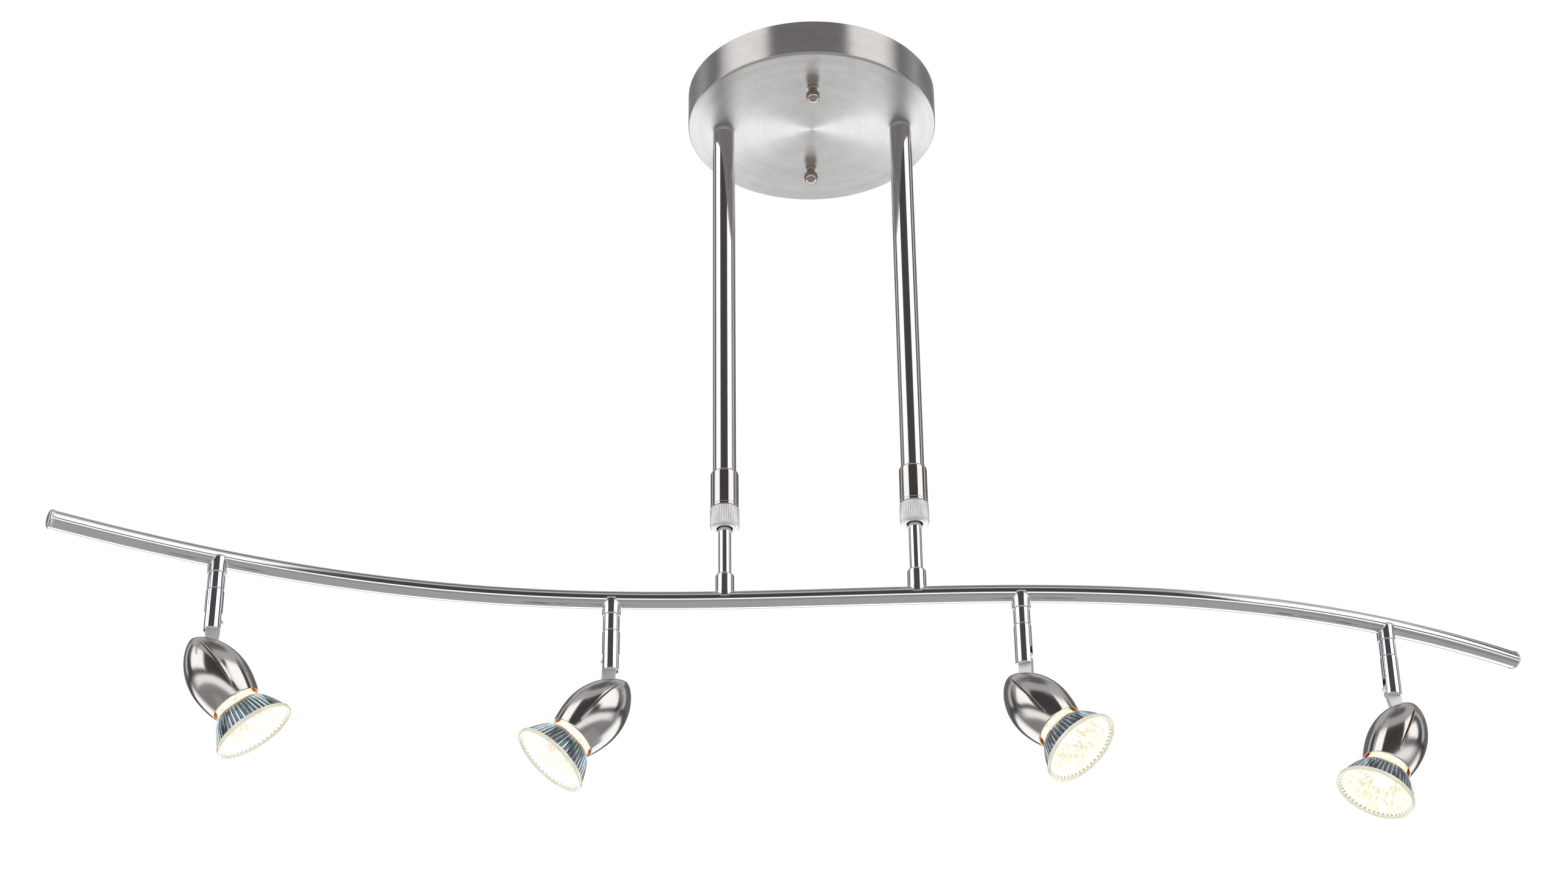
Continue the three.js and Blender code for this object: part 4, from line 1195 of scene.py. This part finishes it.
def shell_grid():
    """Shell outside, with rows from tip to mouth. Columns are an even turn, but beside each of the two vents they
    follow the slit's edges: the edge lines stand half the slit's width each side of the vent's middle, and close up
    outside it. One edge of each slit is lifted and the other drawn in, each dying away over a millimetre or two.
    Gives the points and which cells are skin."""
    sizes = settings().heads
    long, width = sizes.shell_length / MM, sizes.vent / MM
    s = np.concatenate([[0], long * np.linspace(0.012, 1, 110) ** 1.25])
    s = np.concatenate([s, [long + 0.12, long + 0.16]])[:, None]
    rolled_in = np.array([0.0, 0.12, 0.3])[np.searchsorted([long + 0.1, long + 0.15], s)]
    radius = shell_radius(np.minimum(s, long)) - rolled_in
    radius[0] = 0
    half = np.maximum(0.5 * width * vent_share(s), 0.02)
    beside = np.array([0.25, 0.6, 1.1, 1.8, 2.8, 4.2])
    near = np.concatenate([-(half + beside[None, ::-1]), -half, half, half + beside[None, :]], axis=1)
    room = np.maximum(radius, 1e-3)
    spread = near * np.minimum(1, room * math.pi / 2 / 9.0) / room
    margin = spread[:, -1:]
    share = np.linspace(0, 1, 26)[None, 1:-1]
    blocks, lifts, slots = [], [], []
    for vent in (0, 1):
        blocks.append(vent * math.pi + spread)
        reach = np.exp(-np.maximum(np.abs(near) - half, 0) / 1.1) * vent_share(s)
        lifts.append(np.where(near > 0, 0.5, -0.3) * reach)
        blocks.append(vent * math.pi + margin + (math.pi - 2 * margin) * share)
        lifts.append(0 * share + 0 * s)
        slots += [len(beside) + vent * (near.shape[1] + share.shape[1])]
    angle = np.concatenate(blocks, axis=1) + math.pi / 2
    reach = radius + np.concatenate(lifts, axis=1) * (radius > 1)
    points = np.stack([reach * np.cos(angle), reach * np.sin(angle), -s + 0 * angle], axis=-1)
    keep = np.ones((len(s) - 1, angle.shape[1]), bool)
    inside = (s[:-1, 0] > VENT_FROM) & (s[1:, 0] < VENT_TO)
    keep[np.ix_(inside, slots)] = False
    return points, keep


def knuckle_outline(offset):
    """Outline of the lug in the tilting part's X and Z: a round end over the tilt pin, a square horn on the side
    that the lamp leans to, straight flanks that lead back towards the tip, and a foot that follows the skin."""
    half = 4.1
    s = np.linspace(3.9, 10.2, 12)
    skin = np.stack([shell_radius(s) - offset - 0.35, TIP_UP - s], axis=-1)
    horn = eased(
        [
            (*skin[-1], 0), (half - 1.2, -4.4, 1.0), (half + 0.2, -2.4, 0.1), (6.3, -2.4, 0.4), (6.3, 1.6, 0.4),
            (half - 0.3, 1.6, 0.1), (3.5, 2.1, 0),
        ]
    )
    turn = np.radians(np.linspace(36, 175, 16))
    head = np.stack([half * np.cos(turn), half * np.sin(turn)], axis=-1)
    return np.concatenate([skin, horn[1:-1], head])


class SBAR_OT_head_shells(bpy.types.Operator):
    """Bullet-shaped shells with their knuckles and lamp sockets"""

    bl_idname = "sbar.head_shells"
    bl_label = "Head shells"

    def execute(self, context):
        points, keep = shell_grid()
        for head in HEADS:
            _, _, pivot, across, up = head_frames(head)
            tip = shell_tip(head)
            offset = abs(np.dot(tip - pivot, across))
            shell = add_piece(
                f"head_{head}_bullet", [knit(stretched(points, tip, across, up), keep=keep)],
                brushed_nickel_round(), f"shell_{head}", [f"head_{head}_shell"], sharp=50,
            )
            shell.data.materials.append(shell_inside_painted_glow())
            wall = shell.modifiers.new("sheet thickness", "SOLIDIFY")
            wall.thickness = SHELL_WALL * MM
            wall.offset = -1
            wall.use_even_offset = False
            wall.use_rim = True
            wall.material_offset = 1
            wall.material_offset_rim = 0
            add_extruded(
                f"head_{head}_lug", knuckle_outline(offset), 4.0, (pivot, across, up), tumbled_steel(),
                f"shell_{head}", [f"head_{head}_knuckle"], 0.35,
            )
            dress(pressed_ceramic(), "steatite", f"head_{head}_lamp_socket")
        return {"FINISHED"}


def shell_tip(head):
    """The shell's tip: from the tilt axis, back across by the shell's offset and up by the tip's own height."""
    _, _, pivot, across, up = head_frames(head)
    twist = np.array(JOINTS[f"head_{head}_lamp_twist"]["pos_m"]) / MM
    offset = np.dot(twist - pivot, across)
    return pivot + across * offset + up * TIP_UP


# --- Lamps: distances run from the shell's tip towards the lamp's face ---
FACE_AT = 70.9
RIM_HEIGHT = 2.3
BOWL_FROM = 53.2


def bowl_radius(k):
    """Radius of the lamp's bowl at share k of its depth: from the neck it opens quickly, then more slowly."""
    sizes = settings().lamps
    neck, rim = sizes.neck / MM / 2, sizes.face / MM / 2 - 0.7
    return neck + (rim - neck) * k**0.62


def fluted(count, depth):
    """A radius function for pressed flutes: the surface goes in between raised flats, count times round."""

    def reach(radius, angle, height):
        wave = np.clip(1.6 * np.cos(count * angle) + 0.2, -1, 1)
        return radius - depth * (0.5 - 0.5 * wave)

    return reach


def counted_uv(points, flutes, outside_rows):
    """Flutes counted round, and the share of the way up the outside, for each point of a fluted bowl."""
    rows, columns = points.shape[:2]
    across = np.linspace(0, flutes, columns + 1)[None, :]
    along = np.clip(np.arange(rows) / outside_rows, 0, 1)[:, None]
    return np.stack([across + 0 * along, along + 0 * across], axis=-1)


def dish_grid(columns=192, rows=64):
    """Inside of the lamp: a thin bowl whose skin dimples in facets, 32 round and 9 deep, each a shallow hollow worked
    out as the product of two cosines. The back follows the front 0.4 mm behind it."""
    angle = round_turn(columns)[None, :]
    k = np.linspace(0, 1, rows)[:, None]
    face, neck = settings().lamps.face / MM / 2 - 1.6, 5.0
    radius = neck + (face - neck) * k**0.75
    depth = 1.0 - k
    mouth, sunk, facets_round, facets_deep, dent = FACE_AT - 2.6, 15.5, 32, 9, 0.28
    fade = np.clip(k * 6, 0, 1) * np.clip((1 - k) * 8, 0, 1)
    dimple = dent * np.cos(facets_round * angle) * np.cos(2 * facets_deep * math.pi * k) * fade
    s = mouth - sunk * depth**1.35 + dimple
    points = np.stack([radius * np.cos(angle), radius * np.sin(angle), -s], axis=-1)
    floor = np.zeros((1, columns, 3))
    thick = 0.4
    floor[..., 2] = -(mouth - sunk - thick)
    behind = np.array([0, 0, thick])
    return np.concatenate([floor, points, points[::-1] + behind, floor + behind])


class SBAR_OT_lamps(bpy.types.Operator):
    """Reflector lamps: base, glowing neck, fluted bowl, rim, mirror dish, capsule and front glass"""

    bl_idname = "sbar.lamps"
    bl_label = "Lamps"

    def execute(self, context):
        sizes = settings().lamps
        face, neck = sizes.face / MM / 2, sizes.neck / MM / 2
        k = np.linspace(0, 1, 24)
        bowl_end = FACE_AT - RIM_HEIGHT
        rim_in, rim_back, glass = face - 1.7, -bowl_end + 0.2, face - 1.35
        bowl = np.stack([bowl_radius(k), -(BOWL_FROM + (bowl_end - BOWL_FROM) * k)], axis=-1)
        lining = bowl[::-1] - np.array([1.1, -0.4])
        bowl_closed = np.concatenate([[(0, bowl[0, 1] + 0.5)], bowl, lining, [(0, lining[-1, 1])]])
        for head in HEADS:
            body = f"lamp_{head}"
            _, _, _, across, up = head_frames(head)
            place = (shell_tip(head), across, up)
            base_node = f"head_{head}_lamp"
            add_turned(
                f"head_{head}_lamp_base",
                eased([(0, -25, 0), (10.5, -25, 0.8), (10.5, -41.5, 0.3), (9.6, -44, 0), (0, -44, 0)]), place,
                pressed_ceramic(), body, [base_node],
            )
            add_turned(
                f"head_{head}_lamp_neck",
                eased(
                    [
                        (0, -43.5, 0), (neck - 1.2, -43.5, 0.8), (neck - 0.9, -47, 0.6), (neck - 0.9, -50.6, 0.2),
                        (neck, -50.9, 0.2), (neck, -BOWL_FROM - 0.3, 0), (0, -BOWL_FROM - 0.3, 0),
                    ]
                ),
                place, glowing_neck(), body, (),
            )
            fluted_bowl = turned(bowl_closed, sizes.flutes * 8, fluted(sizes.flutes, 0.9))
            add_piece(
                f"head_{head}_lamp_bowl",
                [knit(stretched(fluted_bowl, *place), uv=counted_uv(fluted_bowl, sizes.flutes, len(bowl)))],
                dichroic_outside(), body, (), sharp=30,
            )
            add_turned(
                f"head_{head}_lamp_rim",
                joined(
                    [
                        (rim_in, rim_back, 0), (face - 0.3, rim_back, 0.4), (face, -bowl_end - 1.2, 0.6),
                        (face, -FACE_AT + 0.6, 0.5), (face - 0.7, -FACE_AT, 0.4), (face - 1.3, -FACE_AT, 0.2),
                        (rim_in, -FACE_AT + 1.2, 0),
                    ],
                    (rim_in, rim_back),
                ),
                place, rim_glass(), body, (), columns=96,
            )
            add_piece(
                f"head_{head}_lamp_dish", [knit(stretched(dish_grid(), *place))], dish_mirror(), body, (),
                sharp=80,
            )
            add_turned(
                f"head_{head}_lamp_capsule",
                eased([(0, -54.5, 0), (4.2, -54.5, 0.5), (4.2, -61, 2.0), (0, -64.5, 0)]), place, lit_capsule(), body,
                (), columns=32,
            )
            dome = np.linspace(0, glass, 14)
            outside = np.stack([dome, -(FACE_AT - 0.35) + 0.5 * (dome / face) ** 2], axis=-1)
            add_turned(
                f"head_{head}_lamp_front",
                np.concatenate([outside, [(glass, -FACE_AT + 2.3), (0, -FACE_AT + 2.3)]]), place,
                front_glass(), body, [f"head_{head}_lens"], columns=96,
            )
        return {"FINISHED"}


# --- Studio ---
BOX_STRENGTH = 1.75  # of the soft boxes and walls, where the backdrop is 1


def studio_world(scene):
    """Soft studio light, as shades over directions: two tall soft boxes left and right of the front, one broad box
    overhead, a low box in front, a dark gap between them, dim walls at the back and pale ground. The backdrop itself
    is white."""
    world = bpy.data.worlds.new("soft boxes")
    scene.world = world
    world.use_nodes = True
    tree = world.node_tree
    tree.nodes.clear()
    output = tree.nodes.new("ShaderNodeOutputWorld")
    direction = add_node(tree, "ShaderNodeTexCoord")
    unit = add_node(tree, "ShaderNodeVectorMath", {0: direction.outputs["Generated"]}, operation="NORMALIZE")
    part = add_node(tree, "ShaderNodeSeparateXYZ", {0: unit.outputs[0]})
    front = add_node(tree, "ShaderNodeMath", {0: part.outputs["Y"], 1: -1.0}, operation="MULTIPLY")
    turn = add_node(tree, "ShaderNodeMath", {0: part.outputs["X"], 1: front.outputs[0]}, operation="ARCTAN2")
    turn_share = add_node(
        tree, "ShaderNodeMath", {0: turn.outputs[0], 1: 1 / (2 * math.pi), 2: 0.5}, operation="MULTIPLY_ADD"
    )
    height = add_node(tree, "ShaderNodeMath", {0: part.outputs["Z"]}, operation="ARCSINE")
    height_share = add_node(
        tree, "ShaderNodeMath", {0: height.outputs[0], 1: 1 / math.pi, 2: 0.5}, operation="MULTIPLY_ADD"
    )

    def at(degrees):
        return 0.5 + degrees / 360

    gap, wall, shade, box = (0.045, 0.04, 0.04), (0.11, 0.11, 0.115), (0.05, 0.05, 0.06), 1.0
    side = [
        (at(-180), wall), (at(-118), wall), (at(-116), 0.5), (at(-106), 0.5), (at(-104), shade), (at(-84), shade),
        (at(-81), box), (at(-36), box), (at(-34), gap), (at(38), gap), (at(40), box), (at(83), box),
        (at(86), shade), (at(104), shade), (at(106), 0.5), (at(116), 0.5), (at(118), wall), (at(180), wall),
    ]
    round_shade = ramp(tree, turn_share.outputs[0], side)
    back = [(at(-180), (0.88, 0.92, 0.96)), (at(-165), (0.92, 0.96, 1.0)), (at(-120), 1.0), (at(-100), 0.2)]
    mirrored_back = [(1 - place, tone) for place, tone in reversed(back)]
    low_shade = ramp(tree, turn_share.outputs[0], [*back, (at(-70), 0.85), (at(70), 0.85), *mirrored_back])
    ground_shade = ramp(tree, turn_share.outputs[0], [*back, (at(-70), 0.2), (at(70), 0.2), *mirrored_back])

    def up(degrees):
        return 0.5 + degrees / 180

    over = ramp(tree, height_share.outputs[0], [(up(49), 0.0), (up(52), 1.0)])
    over_shade = ramp(tree, height_share.outputs[0], [(up(52), 0.36), (up(70), 0.36), (up(76), 0.1), (up(90), 0.1)])
    horizon = ramp(tree, height_share.outputs[0], [(up(8), 0.0), (up(12), 1.0)])
    low = ramp(tree, height_share.outputs[0], [(up(-3), 1.0), (up(0), 0.0)])
    rising = add_node(tree, "ShaderNodeMixRGB", {0: horizon, 1: (0.03, 0.03, 0.035, 1), 2: round_shade})
    mixed = add_node(tree, "ShaderNodeMixRGB", {0: over, 1: rising.outputs[0], 2: over_shade})
    ground = ramp(tree, height_share.outputs[0], [(up(-18), 1.0), (up(-15), 0.0)])
    lower = add_node(tree, "ShaderNodeMixRGB", {0: ground, 1: low_shade, 2: ground_shade})
    grounded = add_node(tree, "ShaderNodeMixRGB", {0: low, 1: mixed.outputs[0], 2: lower.outputs[0]})
    seen = add_node(tree, "ShaderNodeLightPath")
    boxes = add_node(tree, "ShaderNodeBackground", {"Color": grounded.outputs[0], "Strength": BOX_STRENGTH})
    backdrop = add_node(tree, "ShaderNodeBackground", {"Color": (1, 1, 1, 1), "Strength": 1.0})
    chosen = add_node(
        tree, "ShaderNodeMixShader", {0: seen.outputs["Is Camera Ray"], 1: boxes.outputs[0], 2: backdrop.outputs[0]}
    )
    tree.links.new(chosen.outputs[0], output.inputs["Surface"])


FLOOR_LINES = 9  # each way across the floor's grid


def floor_grid(reach, drop):
    """A level sheet at the floor's depth, an even grid from minus reach to reach both ways."""
    side = np.linspace(-reach, reach, FLOOR_LINES)
    x, y = np.meshgrid(side, side)
    return np.stack([x, y, np.full_like(x, -drop)], axis=-1)


def camera_matrix(studio):
    """Camera axes from yaw, pitch and roll: forward is turned from +Y and tilted up, right stays level, and both
    right and down are rolled about forward."""
    yaw, pitch, roll = studio.yaw, studio.pitch, studio.roll
    forward = np.array([math.sin(yaw) * math.cos(pitch), math.cos(yaw) * math.cos(pitch), math.sin(pitch)])
    right = np.array([math.cos(yaw), -math.sin(yaw), 0])
    down = np.cross(forward, right)
    right, down = math.cos(roll) * right + math.sin(roll) * down, math.cos(roll) * down - math.sin(roll) * right
    matrix = np.eye(4)
    matrix[:3, :3] = np.stack([right, -down, -forward], axis=-1)
    matrix[:3, 3] = [studio.camera_x, studio.camera_y, studio.camera_z]
    return Matrix(matrix.tolist())


class SBAR_OT_studio(bpy.types.Operator):
    """Floor, soft light and camera"""

    bl_idname = "sbar.studio"
    bl_label = "Studio"

    def execute(self, context):
        studio, scene = settings().studio, bpy.context.scene
        points = floor_grid(studio.floor_reach / MM, studio.floor_drop / MM)
        index = np.arange(FLOOR_LINES**2).reshape(FLOOR_LINES, FLOOR_LINES)
        faces = np.stack([index[:-1, :-1], index[:-1, 1:], index[1:, 1:], index[1:, :-1]], axis=-1).reshape(-1, 4)
        mesh = bpy.data.meshes.new("floor")
        mesh.from_pydata(points.reshape(-1, 3) * MM, [], faces.tolist())
        mesh.materials.append(matt_floor())
        floor = bpy.data.objects.new("floor", mesh)
        scene.collection.objects.link(floor)
        studio_world(scene)
        scene.view_settings.view_transform = "Standard"
        camera = bpy.data.objects.new("camera", bpy.data.cameras.new("camera"))
        camera.data.sensor_width = 36
        camera.data.lens = studio.lens
        camera.data.clip_end = 100
        scene.collection.objects.link(camera)
        camera.matrix_world = camera_matrix(studio)
        scene.camera = camera
        return {"FINISHED"}


# --- Panel and running order ---
STEPS = (
    SBAR_OT_canopy,
    SBAR_OT_ceiling_fastenings,
    SBAR_OT_drop_rods,
    SBAR_OT_bar,
    SBAR_OT_head_swivels,
    SBAR_OT_head_shells,
    SBAR_OT_lamps,
    SBAR_OT_studio,
)


class SBAR_PT_light(bpy.types.Panel):
    """Lists the steps that build the light, and its settings"""

    bl_idname = "SBAR_PT_light"
    bl_label = "S-bar light"
    bl_space_type = "VIEW_3D"
    bl_region_type = "UI"
    bl_category = "S-bar light"

    def draw(self, context):
        layout = self.layout
        for step in STEPS:
            layout.operator(step.bl_idname)
        for group in ("canopy", "rods", "bar", "heads", "lamps", "finish", "studio"):
            box = layout.box()
            box.label(text=group.capitalize())
            values = getattr(context.scene.s_bar_light, group)
            for name in values.__annotations__:
                box.prop(values, name)


CLASSES = (
    CanopySettings,
    RodSettings,
    BarSettings,
    HeadSettings,
    LampSettings,
    FinishSettings,
    StudioSettings,
    LightSettings,
    *STEPS,
    SBAR_PT_light,
)


def register():
    for cls in CLASSES:
        bpy.utils.register_class(cls)
    bpy.types.Scene.s_bar_light = PointerProperty(type=LightSettings)


def unregister():
    del bpy.types.Scene.s_bar_light
    for cls in reversed(CLASSES):
        bpy.utils.unregister_class(cls)


def main():
    """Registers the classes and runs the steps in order."""
    register()
    for step in STEPS:
        group, name = step.bl_idname.split(".")
        getattr(getattr(bpy.ops, group), name)()


if __name__ == "__main__":
    main()
